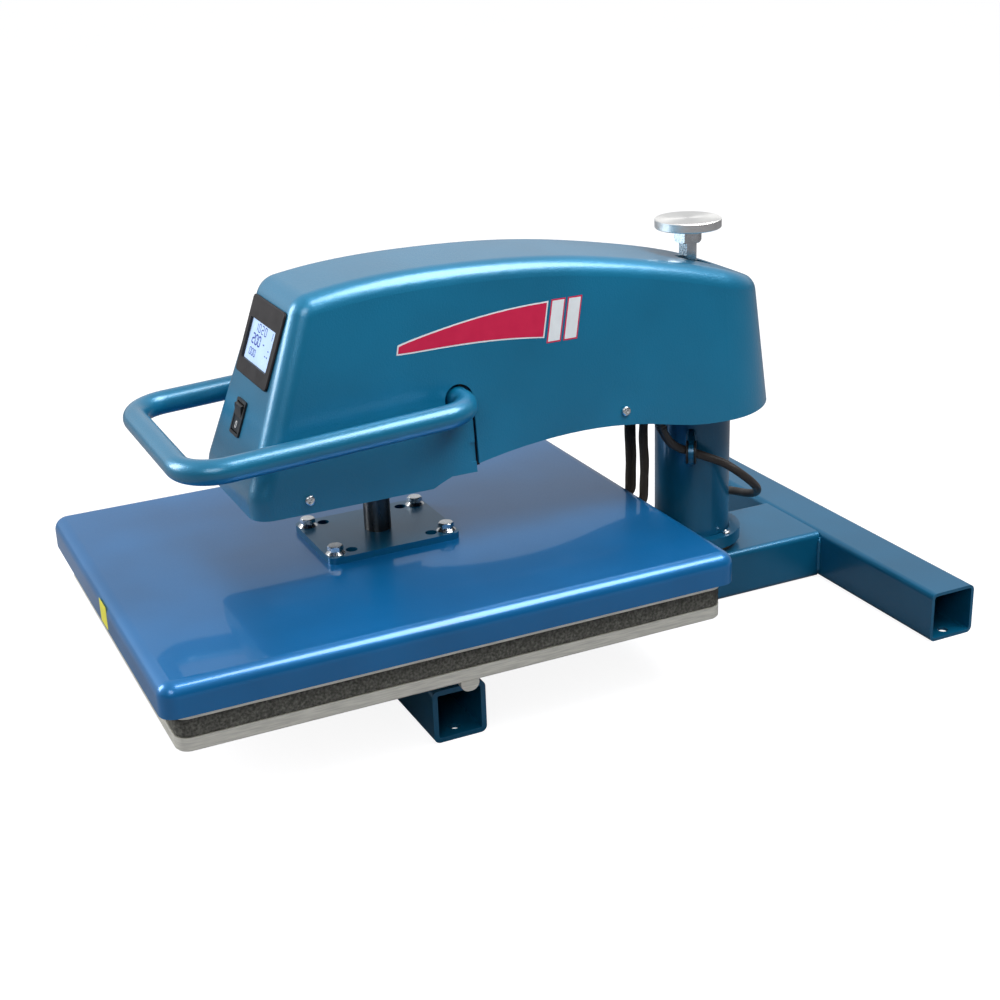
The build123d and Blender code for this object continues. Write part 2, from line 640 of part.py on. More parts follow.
def slot_closures():
    width = SLOT_W - SLOT_GAP
    y0 = PIVOT[0] - SLOT_W / 2 + 0.3
    plug = block(PLATE_OUT + 5, HEAD_HALF + 5, y0, y0 + width, Z_HEAD - 5, PIVOT[1] - TUBE_R / 2)
    plug &= head_form(1.0) - head_form(HEAD_WALL + 1.0)
    above = Z_HEAD + 7.5
    plug &= block(0, HEAD_HALF + 5, y0, y0 + width, above, PIVOT[1])
    notch = block(0, HEAD_HALF + 5, y0 + width - 5, y0 + width + 1, Z_HEAD + 17, Z_HEAD + 35)
    plug -= notch - head_form(1.0 + NOTCH_DEPTH)
    return pair(plug - x_cylinder(TUBE_R + 0.6, 0, HEAD_HALF + 5, PIVOT))


def cover_screws():
    screws = []
    for y, z in screw_places():
        face = HEAD_HALF - HEAD_DRAFT * (z - Z_HEAD - 5)
        screw = x_cylinder(4.5, face, face + 2.3, (y, z))
        screw = fillet(screw.edges().filter_by(GeomType.CIRCLE).sort_by(Axis.X)[-1], 1.6)
        screw += x_cylinder(SCREW_HOLE_R - RUN, PLATE_OUT + 5, face + 0.2, (y, z))
        cross = Box(3.0, 0.9, 4.6) + Box(3.0, 4.6, 0.9)
        screw -= Pos(face + 2.3, y, z) * Rot(45, 0, 0) * cross
        screws += [screw, mirrored(screw)]
    return group(*screws)


# ---- controls --------------------------------------------------------------------------


def display_bezel():
    frame = RectangleRounded(BEZEL_W, BEZEL_H, 4.0)
    frame -= Pos(-0.75, -WINDOW_DOWN) * RectangleRounded(WINDOW_W, WINDOW_H, 1.0)
    bezel = extrude(slope_plane(BEZEL_UP) * frame, BEZEL_T)
    return fillet(bezel.faces().sort_by(Axis.Y)[0].outer_wire().edges(), 1.0)


def display_screen():
    plane = slope_plane(BEZEL_UP)
    return extrude(plane * Rectangle(LCD_W, LCD_H), -LCD_T)


def controller_board():
    plane = slope_plane(BEZEL_UP)
    board = extrude(plane.offset(-LCD_T - 4) * Rectangle(LCD_W, LCD_H + 8), -1.6)
    for x, y in grid(LCD_W - 8, LCD_H - 8):
        board += extrude(plane.offset(-LCD_T) * (Pos(x, y) * Circle(2.5)), -4)
    chip = extrude(plane.offset(-LCD_T - 5.6) * (Pos(8, 4) * Rectangle(14, 14)), -2.2)
    plug = extrude(plane.offset(-LCD_T - 5.6) * (Pos(-18, -12) * Rectangle(20, 8)), -7)
    return board + chip + plug


def rocker_place():
    return slope_plane(SWITCH_UP, SWITCH_X)


def switch_housing():
    plane = rocker_place()
    body = extrude(plane * RectangleRounded(SWITCH_W, SWITCH_H, 2.0), 1.8)
    body += extrude(plane * Rectangle(SWITCH_W - 2.2, SWITCH_H - 3.2), -22)
    well = plane.offset(2) * Rectangle(ROCKER_W + 2 * ROCKER_PLAY, 2 * (ROCKER_R + ROCKER_PLAY))
    body -= extrude(well, -20)
    for x in (-5.5, 5.5):
        body += extrude(plane.offset(-22) * (Pos(x, 0) * Rectangle(0.8, 6.3)), -8)
    return body


def switch_rocker():
    plane = rocker_place()
    side = Plane(origin=plane.origin, x_dir=plane.y_dir, z_dir=plane.x_dir)
    rise = 2 * ROCKER_R * math.tan(math.radians(ROCKER_ANGLE))
    face = Polygon((-2 * ROCKER_R, -11), (2 * ROCKER_R, -11), (2 * ROCKER_R, 1.4 + rise), (0, 1.4),
                   (-2 * ROCKER_R, 1.4), align=None)
    face &= Pos(0, -ROCKER_DEPTH) * Circle(ROCKER_R)
    return extrude(side * face, ROCKER_W / 2, both=True)


def relay():
    y, z = 0.46 * PLATEN_YC, Z_HEAD + 66
    body = block(-PLATE_OUT - 12, -PLATE_OUT, y - 22, y + 22, z - 24, z + 24)
    return body + block(-PLATE_OUT - 14, -PLATE_OUT - 12, y - 16, y + 16, z + 10, z + 20)


def gland_bracket():
    x, y = GLAND_X, GLAND_Y
    plate = block(PLATE_OUT, x + 9, y - 14, y + 14, GLAND_Z, GLAND_Z + 2.5)
    plate += block(PLATE_OUT, PLATE_OUT + 1.5, y - 14, y + 14, GLAND_Z, GLAND_Z + 20)
    return plate - z_cylinder(GLAND_R, GLAND_Z - 1, GLAND_Z + 3, x, y)


def cord_gland():
    x, y = GLAND_X, GLAND_Y
    body = z_cylinder(GLAND_R, GLAND_Z - 2, GLAND_Z + 8, x, y)
    body += z_cylinder(GLAND_R + 1.8, GLAND_Z - 3, GLAND_Z, x, y)
    return body - z_cylinder(CORD_D / 2 + RUN, GLAND_Z - 4, GLAND_Z + 9, x, y)


# ---- handle and toggle links -----------------------------------------------------------


def handle_tube():
    arm = HEAD_HALF + GRIP_OUT
    inner = PLATE_OUT + 4
    front = (PIVOT[0] - GRIP_FORWARD, PIVOT[1] - GRIP_DROP)
    right = [(inner, *PIVOT), (arm, *PIVOT), (arm, *front)]
    left = [(-x, y, z) for x, y, z in reversed(right)]
    path = FilletPolyline(*right, *left, radius=[ARM_BEND, GRIP_BEND, GRIP_BEND, ARM_BEND])
    start = Plane(origin=path @ 0, z_dir=path % 0)
    tube = sweep(start * Circle(TUBE_R), path=path)
    return tube - sweep(start * Circle(shaft_radius() + 0.02), path=path)


def handle_shaft():
    reach = HEAD_HALF - 4
    return x_cylinder(shaft_radius(), -reach, reach, PIVOT)


def handle_crank():
    arm = link_plate(PIVOT, CRANK, 26.0, CRANK_X, CRANK_X + CRANK_T, shaft_radius(), CRANK_PIN_R)
    return arm + mirrored(arm) + x_cylinder(CRANK_PIN_R, -CRANK_X - CRANK_T, CRANK_X + CRANK_T, CRANK)


def push_rods():
    return pair(link_plate(CRANK, KNEE, 17.0, ROD_X, ROD_X + ROD_T, CRANK_PIN_R + RUN, KNEE_R + 0.3))


def upper_toggle_link():
    half = TONGUE_T / 2
    return link_plate(UPPER, KNEE, LINK_W, -half, half, PIN_R + RUN, KNEE_R)


def knee_pin():
    reach = ROD_X + ROD_T
    return x_cylinder(KNEE_R, -reach, reach, KNEE)


def lower_toggle_links():
    inner = TONGUE_T / 2 + SIDE_PLAY
    return pair(link_plate(KNEE, LOWER, LINK_W, inner, inner + LINK_T, KNEE_R + RUN, KNEE_R + RUN))


# ---- heated platen ---------------------------------------------------------------------


def centre_shaft():
    shoulder = LOWER[1] - LINK_W / 2 - 1.5
    half = TONGUE_T / 2
    shaft = z_cylinder(SHAFT_R, Z_MOUNT, shoulder, 0, PLATEN_YC)
    tongue = block(-half, half, PLATEN_YC - LINK_W / 2, PLATEN_YC + LINK_W / 2, shoulder, LOWER[1])
    tongue += x_cylinder(LINK_W / 2, -half, half, LOWER)
    return shaft + tongue - x_cylinder(KNEE_R, -half - 1, half + 1, LOWER)


def shaft_pin():
    reach = TONGUE_T / 2 + SIDE_PLAY + LINK_T
    return x_cylinder(KNEE_R, -reach, reach, LOWER)


def mount_centre():
    return PLATEN_YC - MOUNT_BACK


def platen_bolt_holes(z0, z1):
    return [z_cylinder(BOLT_R + RUN, z0, z1, x, y) for x, y in grid(BOLT_X, BOLT_Y, 0, mount_centre())]


def mount_plate():
    plate = slab(MOUNT_X, MOUNT_Y, 8.0, Z_COVER, Z_MOUNT, mount_centre())
    plate -= platen_bolt_holes(Z_COVER - 1, Z_MOUNT + 1)
    for x, y in grid(BOLT_X, SPARE_Y, 0, mount_centre()):
        plate -= z_cylinder(BOLT_R + 0.5, Z_COVER - 1, Z_MOUNT + 1, x, y)
    return plate


def mount_bolts():
    bolts = []
    for x, y in grid(BOLT_X, BOLT_Y, 0, mount_centre()):
        bolt = z_cylinder(BOLT_R, Z_BOARD - BOLT_DEPTH, Z_MOUNT, x, y)
        flange = Pos(x, y, Z_MOUNT + FLANGE_T / 2) * Cone(FLANGE_R, BOLT_FLATS / 2, FLANGE_T)
        bolts.append(bolt + flange + hex_head(BOLT_FLATS, Z_MOUNT, Z_MOUNT + BOLT_HEAD_T, x, y, BOLT_TURN))
    return group(*bolts)


def cover_form(inset):
    width = PLATEN_X + 2 * (COVER_SIDE_X - inset)
    depth = PLATEN_Y + 2 * (COVER_SIDE_Y - inset)
    form = slab(width, depth, COVER_CORNER - inset, Z_HEAT + COVER_LIFT - inset, Z_COVER - inset)
    return fillet(form.faces().sort_by(Axis.Z)[-1].edges(), COVER_ROUND - inset)


def cable_entry_y():
    return PLATEN_YC + PLATEN_Y / 2 + COVER_SIDE_Y


def platen_cover():
    cover = cover_form(0.0) - cover_form(COVER_SHEET)
    for hole in platen_bolt_holes(Z_SHEET - 1, Z_COVER + 1):
        cover -= hole
    for x, radius in CABLES:
        slot = Pos(x, cable_entry_y() - 2, CABLE_Z) * Rot(90, 0, 0) * Cylinder(radius + 1.5, 8)
        cover -= slot
    return cover


def insulation_board():
    board = slab(PLATEN_X - 24, PLATEN_Y - 12, PLATEN_CORNER, Z_BOARD, Z_SHEET)
    for hole in platen_bolt_holes(Z_BOARD - 1, Z_SHEET + 1):
        board -= hole
    return board - element_tail(ELEMENT_R + 2)


def heat_platen():
    plate = slab(PLATEN_X, PLATEN_Y, PLATEN_CORNER, Z_HEAT, Z_BOARD)
    for hole in platen_bolt_holes(Z_BOARD - BOLT_DEPTH - 0.5, Z_BOARD + 1):
        plate -= hole
    plate -= element_form(ELEMENT_R + 0.02)
    return plate


def element_path():
    side, back = PLATEN_X / 2 - 45, PLATEN_Y / 2 - 50
    z = Z_HEAT + HEAT_T / 2
    rows = [-back, -back / 3, back / 3, back]
    points = []
    for i, row in enumerate(rows):
        ends = (-side, side) if i % 2 else (side, -side)
        points += [(x, PLATEN_YC + row, z) for x in ends]
    bend = min(40.0, back / 3 - 1)
    return FilletPolyline(*points, radius=bend)


def element_form(radius):
    path = element_path()
    start = Plane(origin=path @ 0, z_dir=path % 0)
    return sweep(start * Circle(radius), path=path)


def element_tail(radius):
    ends = (element_path() @ 0, element_path() @ 1)
    return group(*[z_cylinder(radius, Z_HEAT + HEAT_T / 2, Z_SHEET - 1, p.X, p.Y) for p in ends])


def heating_element():
    return element_form(ELEMENT_R)


def heater_cables():
    cables = []
    wall = cable_entry_y()
    for x, radius in CABLES:
        y = wall + CABLE_Y_GAP
        points = [(x, wall - 6, CABLE_Z), (x, y, CABLE_Z), (x, y, Z_HEAD + 72)]
        bend = 1.3 * radius
        path = FilletPolyline(*points, radius=bend)
        start = Plane(origin=path @ 0, z_dir=path % 0)
        cables.append(sweep(start * Circle(radius), path=path))
    return group(*cables)


# ---- power cord ------------------------------------------------------------------------


def power_cord_drop():
    return cord_tube(DROP_ROUTE, CORD_D / 2, "drop")


def power_cord_lead():
    return cord_tube(LEAD_ROUTE, CORD_D / 2, "lead")


def power_cord_tail():
    return cord_tube(TAIL_ROUTE, CORD_D / 2, "tail")


def power_cord_coil():
    outer, inner = COIL_TURNS[-1] + CORD_D / 2, COIL_TURNS[0] - CORD_D / 2
    return ring(outer, inner, 0, 2 * CORD_D, *COIL_CENTRE)


def plug_plane():
    end, before = Vector(*TAIL_ROUTE[-1]), Vector(*TAIL_ROUTE[-2])
    along = (end - before).normalized()
    return Plane(origin=(end.X, end.Y, PLUG_H / 2), z_dir=(along.X, along.Y, 0), x_dir=(0, 0, 1))


def power_plug():
    plane = plug_plane()
    body = extrude(plane.offset(14) * RectangleRounded(PLUG_H, PLUG_W, 5.0), PLUG_L - 14)
    cord_end = plane.origin - Vector(0, 0, PLUG_H / 2 - CORD_D / 2)
    relief = Plane(origin=cord_end, z_dir=plane.z_dir, x_dir=(0, 0, 1))
    neck = loft([relief * Circle(CORD_D / 2), plane.offset(14) * RectangleRounded(12, 14, 4)])
    return body + neck


def plug_blades():
    plane = plug_plane().offset(PLUG_L)
    blades = [extrude(plane * (Pos(2.5, y) * Rectangle(6.3, 1.5)), 17) for y in (-6.35, 6.35)]
    return group(*blades, extrude(plane * (Pos(-6, 0) * Circle(2.4)), 19))


NODES = [
    base_spine_tube, front_cross_tube, rear_cross_tube, fixed_post, thrust_washer, platen_risers,
    riser_studs, lower_platen, silicone_pad, power_cord_lead, power_cord_coil, power_cord_tail,
    power_plug, plug_blades,
    column_tube, column_collar, column_bushes, column_cap, fulcrum_pin, pin_clips, cord_eye,
    cord_grommet,
    knob_disc, knob_nut, pressure_screw,
    arm_side_plates, screw_bridge, guide_block, guide_bush, arm_spacers,
    spacer_bolts, toggle_upper_pin, handle_bushes, head_cover, slot_closures, cover_screws,
    display_bezel, display_screen, controller_board, switch_housing, relay, cord_gland,
    power_cord_drop,
    switch_rocker,
    handle_tube, handle_shaft, handle_crank, push_rods, upper_toggle_link, knee_pin,
    lower_toggle_links,
    centre_shaft, shaft_pin, mount_plate, mount_bolts, platen_cover, insulation_board,
    heat_platen, heating_element, heater_cables,
]

if __name__ == "__main__":
    os.makedirs("parts", exist_ok=True)
    for node in NODES:
        export_step(node(), f"parts/{node.__name__}.step")
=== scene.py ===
import json
import math

import bmesh
import bpy
from mathutils import Matrix, Vector
from mathutils import noise as wobble


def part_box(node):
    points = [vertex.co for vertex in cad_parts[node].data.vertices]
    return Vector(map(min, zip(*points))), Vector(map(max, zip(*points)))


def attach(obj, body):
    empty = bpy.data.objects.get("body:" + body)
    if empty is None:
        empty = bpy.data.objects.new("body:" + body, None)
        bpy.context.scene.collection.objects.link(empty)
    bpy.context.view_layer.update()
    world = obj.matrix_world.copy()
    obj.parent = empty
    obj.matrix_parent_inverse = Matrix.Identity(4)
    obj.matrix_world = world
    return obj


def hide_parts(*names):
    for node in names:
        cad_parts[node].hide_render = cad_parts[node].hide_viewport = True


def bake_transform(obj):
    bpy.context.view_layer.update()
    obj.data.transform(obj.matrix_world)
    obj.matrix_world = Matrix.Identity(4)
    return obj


# Swing-away heat press: finishes, cord, foam pad, fasteners, markings, light and camera.
# Everything is in metres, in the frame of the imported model.

MM = 0.001
UP = Vector((0, 0, 1))
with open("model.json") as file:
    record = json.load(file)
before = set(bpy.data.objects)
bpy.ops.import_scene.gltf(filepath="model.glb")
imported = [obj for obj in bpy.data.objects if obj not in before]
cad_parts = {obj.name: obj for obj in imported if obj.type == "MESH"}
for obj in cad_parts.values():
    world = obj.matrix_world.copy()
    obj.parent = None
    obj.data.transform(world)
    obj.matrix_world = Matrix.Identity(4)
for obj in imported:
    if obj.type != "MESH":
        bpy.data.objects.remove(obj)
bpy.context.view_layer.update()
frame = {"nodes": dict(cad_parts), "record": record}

# ---- sizes that the CAD parts also use --------------------------------------------------

CORD_D = 8.5 * MM
COLUMN_R = 38.1 * MM
TUBE = 50.8 * MM                            # square tube of the base
SPINE_HALF = 50.8 * MM                      # half the spine's width
PAD_CORNER = 12.0 * MM
CABLE_LEFT_X, CABLE_RIGHT_X = -5.0 * MM, 21.5 * MM          # heater cables, across the press
CABLE_RIGHT_R = 5.2 * MM
CABLE_GAP = 12.0 * MM                       # cover's rear face to the cables' middle
CABLE_UP = 17.3 * MM                        # heated platen's underside to the cables' entry
EYE_ANGLE, EYE_UP, EYE_HALF = math.radians(-33.0), 168.0 * MM, 19.0 * MM
PLUG_L, PLUG_W, PLUG_H = 38.0 * MM, 26.0 * MM, 22.0 * MM
NECK_L = 14.0 * MM                          # plug's neck, from the cord's end to the plug's body
HEAD_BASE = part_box("head_cover")[0].z       # lower edge of the head cover
HEAD_HALF = 78.0 * MM                       # half its width at that edge
HEAD_DRAFT = 0.12                           # its sides lean in by this much per metre of height
FACE_FOOT_Y = -486.0 * MM                   # the sloped front starts here,
FACE_FOOT_UP = 18.0 * MM                    # this far above the lower edge,
FACE_LEAN = 0.365                           # and leans back by this much per metre of height
BEZEL_UP = 136.3 * MM                       # centre of the display above the lower edge
SWITCH_UP, SWITCH_X = 69.0 * MM, -8.0 * MM

# The cord's route: gland, guide eye, round the column, down to the bench behind the platen.
DROP_ROUTE = [(.054, -.072, .225), (.054, -.072, .214), (.0532, -.0676, .1997), (.051, -.0595, .1872),
              (.0478, -.0477, .177), (.0463, -.030, .1688), (.0505, -.013, .161)]
LEAD_ROUTE = [(.0547, .004, .1532), (.0615, .0175, .1425), (.062, .032, .130), (.0545, .0445, .118),
              (.0405, .0525, .1075), (.022, .0565, .099), (-.002, .0585, .093), (-.027, .059, .0865),
              (-.050, .059, .075), (-.070, .0585, .0585), (-.088, .057, .041), (-.107, .054, .026),
              (-.127, .050, .016), (-.146, .046, .0128)]
TAIL_ROUTE = [(-.199, -.046, .00425), (-.190, -.062, .00425), (-.176, -.077, .00425),
              (-.158, -.088, .00425)]
COIL_CENTRE = Vector((-.150, -.012))
COIL_TURNS = [.0395, .048, .0565]           # radius of each turn, inner to outer
COIL_START, COIL_END = 105.0, 200.0         # degrees where the cord joins and leaves the coil
COIL_FALL_BEFORE = 220.0                    # degrees before the inward turns end where it steps down,
COIL_FALL_OVER = 180.0                      # and the degrees that the step takes
STEPS_PER_TURN = 16

# ---- shader nodes ----------------------------------------------------------------------

NOISE_LOW, NOISE_HIGH = 0.3, 0.7            # most of a noise texture's values lie between these


def material(name, **values):
    made = bpy.data.materials.new(name)
    made.use_nodes = True
    shader = made.node_tree.nodes["Principled BSDF"]
    for socket, value in values.items():
        shader.inputs[socket.replace("_", " ")].default_value = value
    return made, made.node_tree, shader


def add(tree, kind, **values):
    node = tree.nodes.new("ShaderNode" + kind)
    for name, value in values.items():
        if name in node.inputs:
            node.inputs[name].default_value = value
        else:
            setattr(node, name, value)
    return node


def place(tree, stretch=(1, 1, 1)):
    """Coordinates fixed to the object, stretched along each axis."""
    coordinates = add(tree, "TexCoord")
    mapping = add(tree, "Mapping", Scale=stretch)
    tree.links.new(coordinates.outputs["Object"], mapping.inputs["Vector"])
    return mapping.outputs["Vector"]


def noise(tree, scale, detail=3.0, stretch=(1, 1, 1)):
    texture = add(tree, "TexNoise", Scale=scale, Detail=detail)
    tree.links.new(place(tree, stretch), texture.inputs["Vector"])
    return texture.outputs["Fac"]


def ramp(tree, factor, stops):
    node = add(tree, "ValToRGB")
    elements = node.color_ramp.elements
    while len(elements) < len(stops):
        elements.new(0.5)
    for element, (position, colour) in zip(elements, stops):
        element.position = position
        element.color = (*colour, 1)
    tree.links.new(factor, node.inputs["Fac"])
    return node.outputs["Color"]


def vary(tree, factor, low, high):
    """A value that runs from low to high with a noise texture."""
    node = add(tree, "MapRange")
    node.inputs["From Min"].default_value = NOISE_LOW
    node.inputs["From Max"].default_value = NOISE_HIGH
    node.inputs["To Min"].default_value = low
    node.inputs["To Max"].default_value = high
    tree.links.new(factor, node.inputs["Value"])
    return node.outputs["Result"]


def bump(tree, shader, height, depth, strength=1.0, before=None):
    node = add(tree, "Bump", Strength=strength, Distance=depth)
    tree.links.new(height, node.inputs["Height"])
    if before:
        tree.links.new(before.outputs["Normal"], node.inputs["Normal"])
    tree.links.new(node.outputs["Normal"], shader.inputs["Normal"])
    return node


def split_by_ray(tree, for_others, for_camera, output):
    """Shows one shader to the camera and another to every other ray."""
    path = add(tree, "LightPath")
    mixed = add(tree, "MixShader")
    tree.links.new(path.outputs["Is Camera Ray"], mixed.inputs["Fac"])
    tree.links.new(for_others, mixed.inputs[1])
    tree.links.new(for_camera, mixed.inputs[2])
    tree.links.new(mixed.outputs["Shader"], tree.nodes[output].inputs["Surface"])


# ---- finishes --------------------------------------------------------------------------


FLAKE = 0.40                                # metallic share of every paint


def shade(colour, factor):
    return tuple(channel * factor for channel in colour)


def mottle(tree, shader, factor, colour, dark, light):
    """Colours the shader, darker and lighter by these factors where the texture is low and high."""
    colours = ramp(tree, factor, [(NOISE_LOW, shade(colour, dark)), (NOISE_HIGH, shade(colour, light))])
    tree.links.new(colours, shader.inputs["Base Color"])
    return colours


def paint(name, colour, texture, depth, rough, coat, coat_rough):
    """Metallic powder coat: flecks, a soft cloud in the colour and a textured surface."""
    made, tree, shader = material(name, Metallic=FLAKE, Coat_Weight=coat, Coat_Roughness=coat_rough,
                                  Coat_IOR=1.5)
    mottle(tree, shader, noise(tree, 9.0, 2.0), colour, 0.88, 1.1)
    fleck = noise(tree, 2600.0, 1.0)
    tree.links.new(vary(tree, fleck, rough - 0.06, rough + 0.07), shader.inputs["Roughness"])
    bump(tree, shader, noise(tree, texture, 2.0), depth)
    return made


def metal(name, colour, rough, spread, grain=(1, 1, 1), scale=600.0, depth=0.01 * MM):
    """Bare or plated metal: brushed or mottled, with uneven polish."""
    made, tree, shader = material(name, Metallic=1.0)
    mottle(tree, shader, noise(tree, scale / 12, 3.0, grain), colour, 0.82, 1.08)
    fine = noise(tree, scale, 3.0, grain)
    tree.links.new(vary(tree, fine, rough - spread, rough + spread), shader.inputs["Roughness"])
    bump(tree, shader, fine, depth)
    return made


def turned(name, colour, axis):
    """Lathe-turned aluminium: fine rings round a vertical axis at that plan position."""
    made, tree, shader = material(name, Metallic=1.0, Anisotropic=0.5)
    rings = add(tree, "TexWave", wave_type="RINGS", rings_direction="Z", Scale=160.0, Distortion=0.0)
    rings.inputs["Detail"].default_value = 2.0
    mapping = add(tree, "Mapping", Location=(-axis[0], -axis[1], 0))
    tree.links.new(add(tree, "TexCoord").outputs["Object"], mapping.inputs["Vector"])
    tree.links.new(mapping.outputs["Vector"], rings.inputs["Vector"])
    colours = ramp(tree, rings.outputs["Fac"], [(0.2, shade(colour, 0.96)), (0.8, shade(colour, 1.02))])
    tree.links.new(colours, shader.inputs["Base Color"])
    tree.links.new(vary(tree, noise(tree, 90.0), 0.36, 0.42), shader.inputs["Roughness"])
    bump(tree, shader, rings.outputs["Fac"], 0.01 * MM, 0.3)
    return made


def moulded(name, colour, rough, scale=1400.0, depth=0.04 * MM, clean=0.5):
    """Moulded plastic or rubber with a fine grain and a little handling shine."""
    made, tree, shader = material(name, Specular_IOR_Level=clean)
    cloud = noise(tree, 60.0, 3.0)
    mottle(tree, shader, cloud, colour, 0.8, 1.25)
    tree.links.new(vary(tree, cloud, rough - 0.08, rough + 0.08), shader.inputs["Roughness"])
    bump(tree, shader, noise(tree, scale, 2.0), depth, 0.5)
    return made


def foam(name, colour):
    """Closed-cell silicone foam: cells a fraction of a millimetre across, with painted shade darkening their
    pits.
    """
    made, tree, shader = material(name, Specular_IOR_Level=0.25)
    cells = add(tree, "TexVoronoi", Scale=850.0)
    tree.links.new(place(tree), cells.inputs["Vector"])
    pits_and_painted_shade = noise(tree, 420.0, 5.0)
    # painted shade: the colour is darker where the bump is low, in the pits, and lighter on the rises
    colours = ramp(tree, pits_and_painted_shade, [(0.34, shade(colour, 0.5)), (0.52, colour), (0.7, shade(colour, 1.7))])
    tree.links.new(colours, shader.inputs["Base Color"])
    tree.links.new(vary(tree, pits_and_painted_shade, 0.82, 0.98), shader.inputs["Roughness"])
    fine = bump(tree, shader, cells.outputs["Distance"], 0.4 * MM, 0.7)
    bump(tree, shader, pits_and_painted_shade, 0.6 * MM, 0.6, fine)
    return made


def sleeve(name, colour):
    """Woven glass sleeve of the heater cables: two sets of strands, crossing."""
    made, tree, shader = material(name, Specular_IOR_Level=0.3)
    weave = []
    for lean in (1, -1):
        wave = add(tree, "TexWave", bands_direction="DIAGONAL", Scale=260.0, Distortion=0.6)
        tree.links.new(place(tree, (1, lean, 1)), wave.inputs["Vector"])
        weave.append(wave.outputs["Fac"])
    crossed = add(tree, "Math", operation="MAXIMUM")
    for i, strand in enumerate(weave):
        tree.links.new(strand, crossed.inputs[i])
    colours = ramp(tree, crossed.outputs["Value"], [(0.2, shade(colour, 0.5)), (0.9, shade(colour, 1.4))])
    tree.links.new(colours, shader.inputs["Base Color"])
    tree.links.new(vary(tree, noise(tree, 200.0), 0.6, 0.8), shader.inputs["Roughness"])
    bump(tree, shader, crossed.outputs["Value"], 0.4 * MM, 0.8)
    return made


def fibre(name, colour):
    """Pressed fibre board, with strands that lie flat."""
    made, tree, shader = material(name, Specular_IOR_Level=0.3)
    strands = noise(tree, 300.0, 6.0, (1, 1, 6))
    mottle(tree, shader, strands, colour, 0.7, 1.0)
    tree.links.new(vary(tree, strands, 0.85, 0.97), shader.inputs["Roughness"])
    bump(tree, shader, strands, 0.5 * MM, 0.7)
    return made


def backlit(name, colour):
    """Liquid crystal display: pale, evenly lit from behind, with a faint cloud."""
    made, tree, shader = material(name, Emission_Strength=0.45, Coat_Weight=0.4, Coat_Roughness=0.1)
    cloud = noise(tree, 40.0, 2.0)
    colours = mottle(tree, shader, cloud, colour, 0.9, 1.0)
    tree.links.new(colours, shader.inputs["Emission Color"])
    tree.links.new(vary(tree, cloud, 0.2, 0.3), shader.inputs["Roughness"])
    return made


def printed(name, colour, rough=0.4):
    """Printed or stuck-on film."""
    made, tree, shader = material(name, Specular_IOR_Level=0.45)
    cloud = noise(tree, 120.0, 3.0)
    mottle(tree, shader, cloud, colour, 0.93, 1.0)
    tree.links.new(vary(tree, cloud, rough - 0.06, rough + 0.06), shader.inputs["Roughness"])
    return made


KNOB_AXIS = (0.0, -7.0 * MM)                # the knob's place in plan

FINISH = {
    "base_paint": paint("base_paint", (0.0005, 0.105, 0.215), texture=700.0, depth=0.03 * MM, rough=0.36,
                        coat=0.4, coat_rough=0.14),
    "head_paint": paint("head_paint", (0.0002, 0.170, 0.320), texture=620.0, depth=0.22 * MM, rough=0.40,
                        coat=0.95, coat_rough=0.24),
    "platen_paint": paint("platen_paint", (0.0001, 0.130, 0.350), texture=260.0, depth=0.02 * MM, rough=0.36,
                          coat=0.6, coat_rough=0.05),
    "steel": metal("steel", (0.40, 0.40, 0.41), rough=0.34, spread=0.08),
    "dark_steel": metal("dark_steel", (0.10, 0.095, 0.09), rough=0.34, spread=0.09, grain=(1, 1, 0.2)),
    "zinc": metal("zinc", (0.72, 0.74, 0.74), rough=0.22, spread=0.07, scale=900.0),
    "aluminium_plate": metal("aluminium_plate", (0.93, 0.92, 0.83), rough=0.52, spread=0.09,
                             grain=(1, 1, 14)),
    "bronze": metal("bronze", (0.42, 0.25, 0.10), rough=0.38, spread=0.08),
    "contact_brass": metal("contact_brass", (0.75, 0.55, 0.22), rough=0.26, spread=0.06),
    "pad_foam": foam("pad_foam", (0.105, 0.105, 0.092)),
    "board_fibre": fibre("board_fibre", (0.62, 0.58, 0.48)),
    "black_plastic": moulded("black_plastic", (0.012, 0.012, 0.012), rough=0.42),
    "bezel_plastic": moulded("bezel_plastic", (0.020, 0.018, 0.019), rough=0.46, scale=1800.0,
                             depth=0.02 * MM, clean=0.25),
    "switch_plastic": moulded("switch_plastic", (0.010, 0.010, 0.010), rough=0.34),
    "screen_glass": backlit("screen_glass", (0.50, 0.68, 0.98)),
    "circuit_board": moulded("circuit_board", (0.01, 0.11, 0.04), rough=0.4),
    "cord_rubber": moulded("cord_rubber", (0.022, 0.018, 0.016), rough=0.44, scale=900.0, depth=0.06 * MM),
    "cable_sleeve": sleeve("cable_sleeve", (0.045, 0.036, 0.028)),
}
KNOB_METAL = turned("turned_aluminium", (0.97, 0.96, 0.93), KNOB_AXIS)
DIGIT_INK = printed("digit_ink", (0.03, 0.06, 0.38))
MARK_WHITE = printed("mark_white", (0.85, 0.85, 0.84))
STICKER_YELLOW = printed("sticker_yellow", (0.83, 0.77, 0.05))
STRIPE_CRIMSON = printed("stripe_crimson", (0.52, 0.012, 0.06))
STRIPE_PALE = printed("stripe_pale", (0.66, 0.70, 0.72))


def finish_nodes():
    for part in frame["record"]["subparts"]:
        node = frame["nodes"][part["node"]]
        node.data.materials.clear()
        node.data.materials.append(FINISH[part["material_slot"]])
    frame["nodes"]["knob_disc"].data.materials[0] = KNOB_METAL


# ---- mesh helpers ----------------------------------------------------------------------


def piece(name, builder, slot, body=None, finish=None, smooth=True):
    """An object made from the builder. Its finish is the slot's own, unless one is given."""
    data = to_mesh(name, builder)
    made = bpy.data.objects.new(name, data)
    bpy.context.scene.collection.objects.link(made)
    data.materials.append(finish or FINISH[slot])
    for polygon in data.polygons:
        polygon.use_smooth = smooth
    if body:
        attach(made, body)
    return made


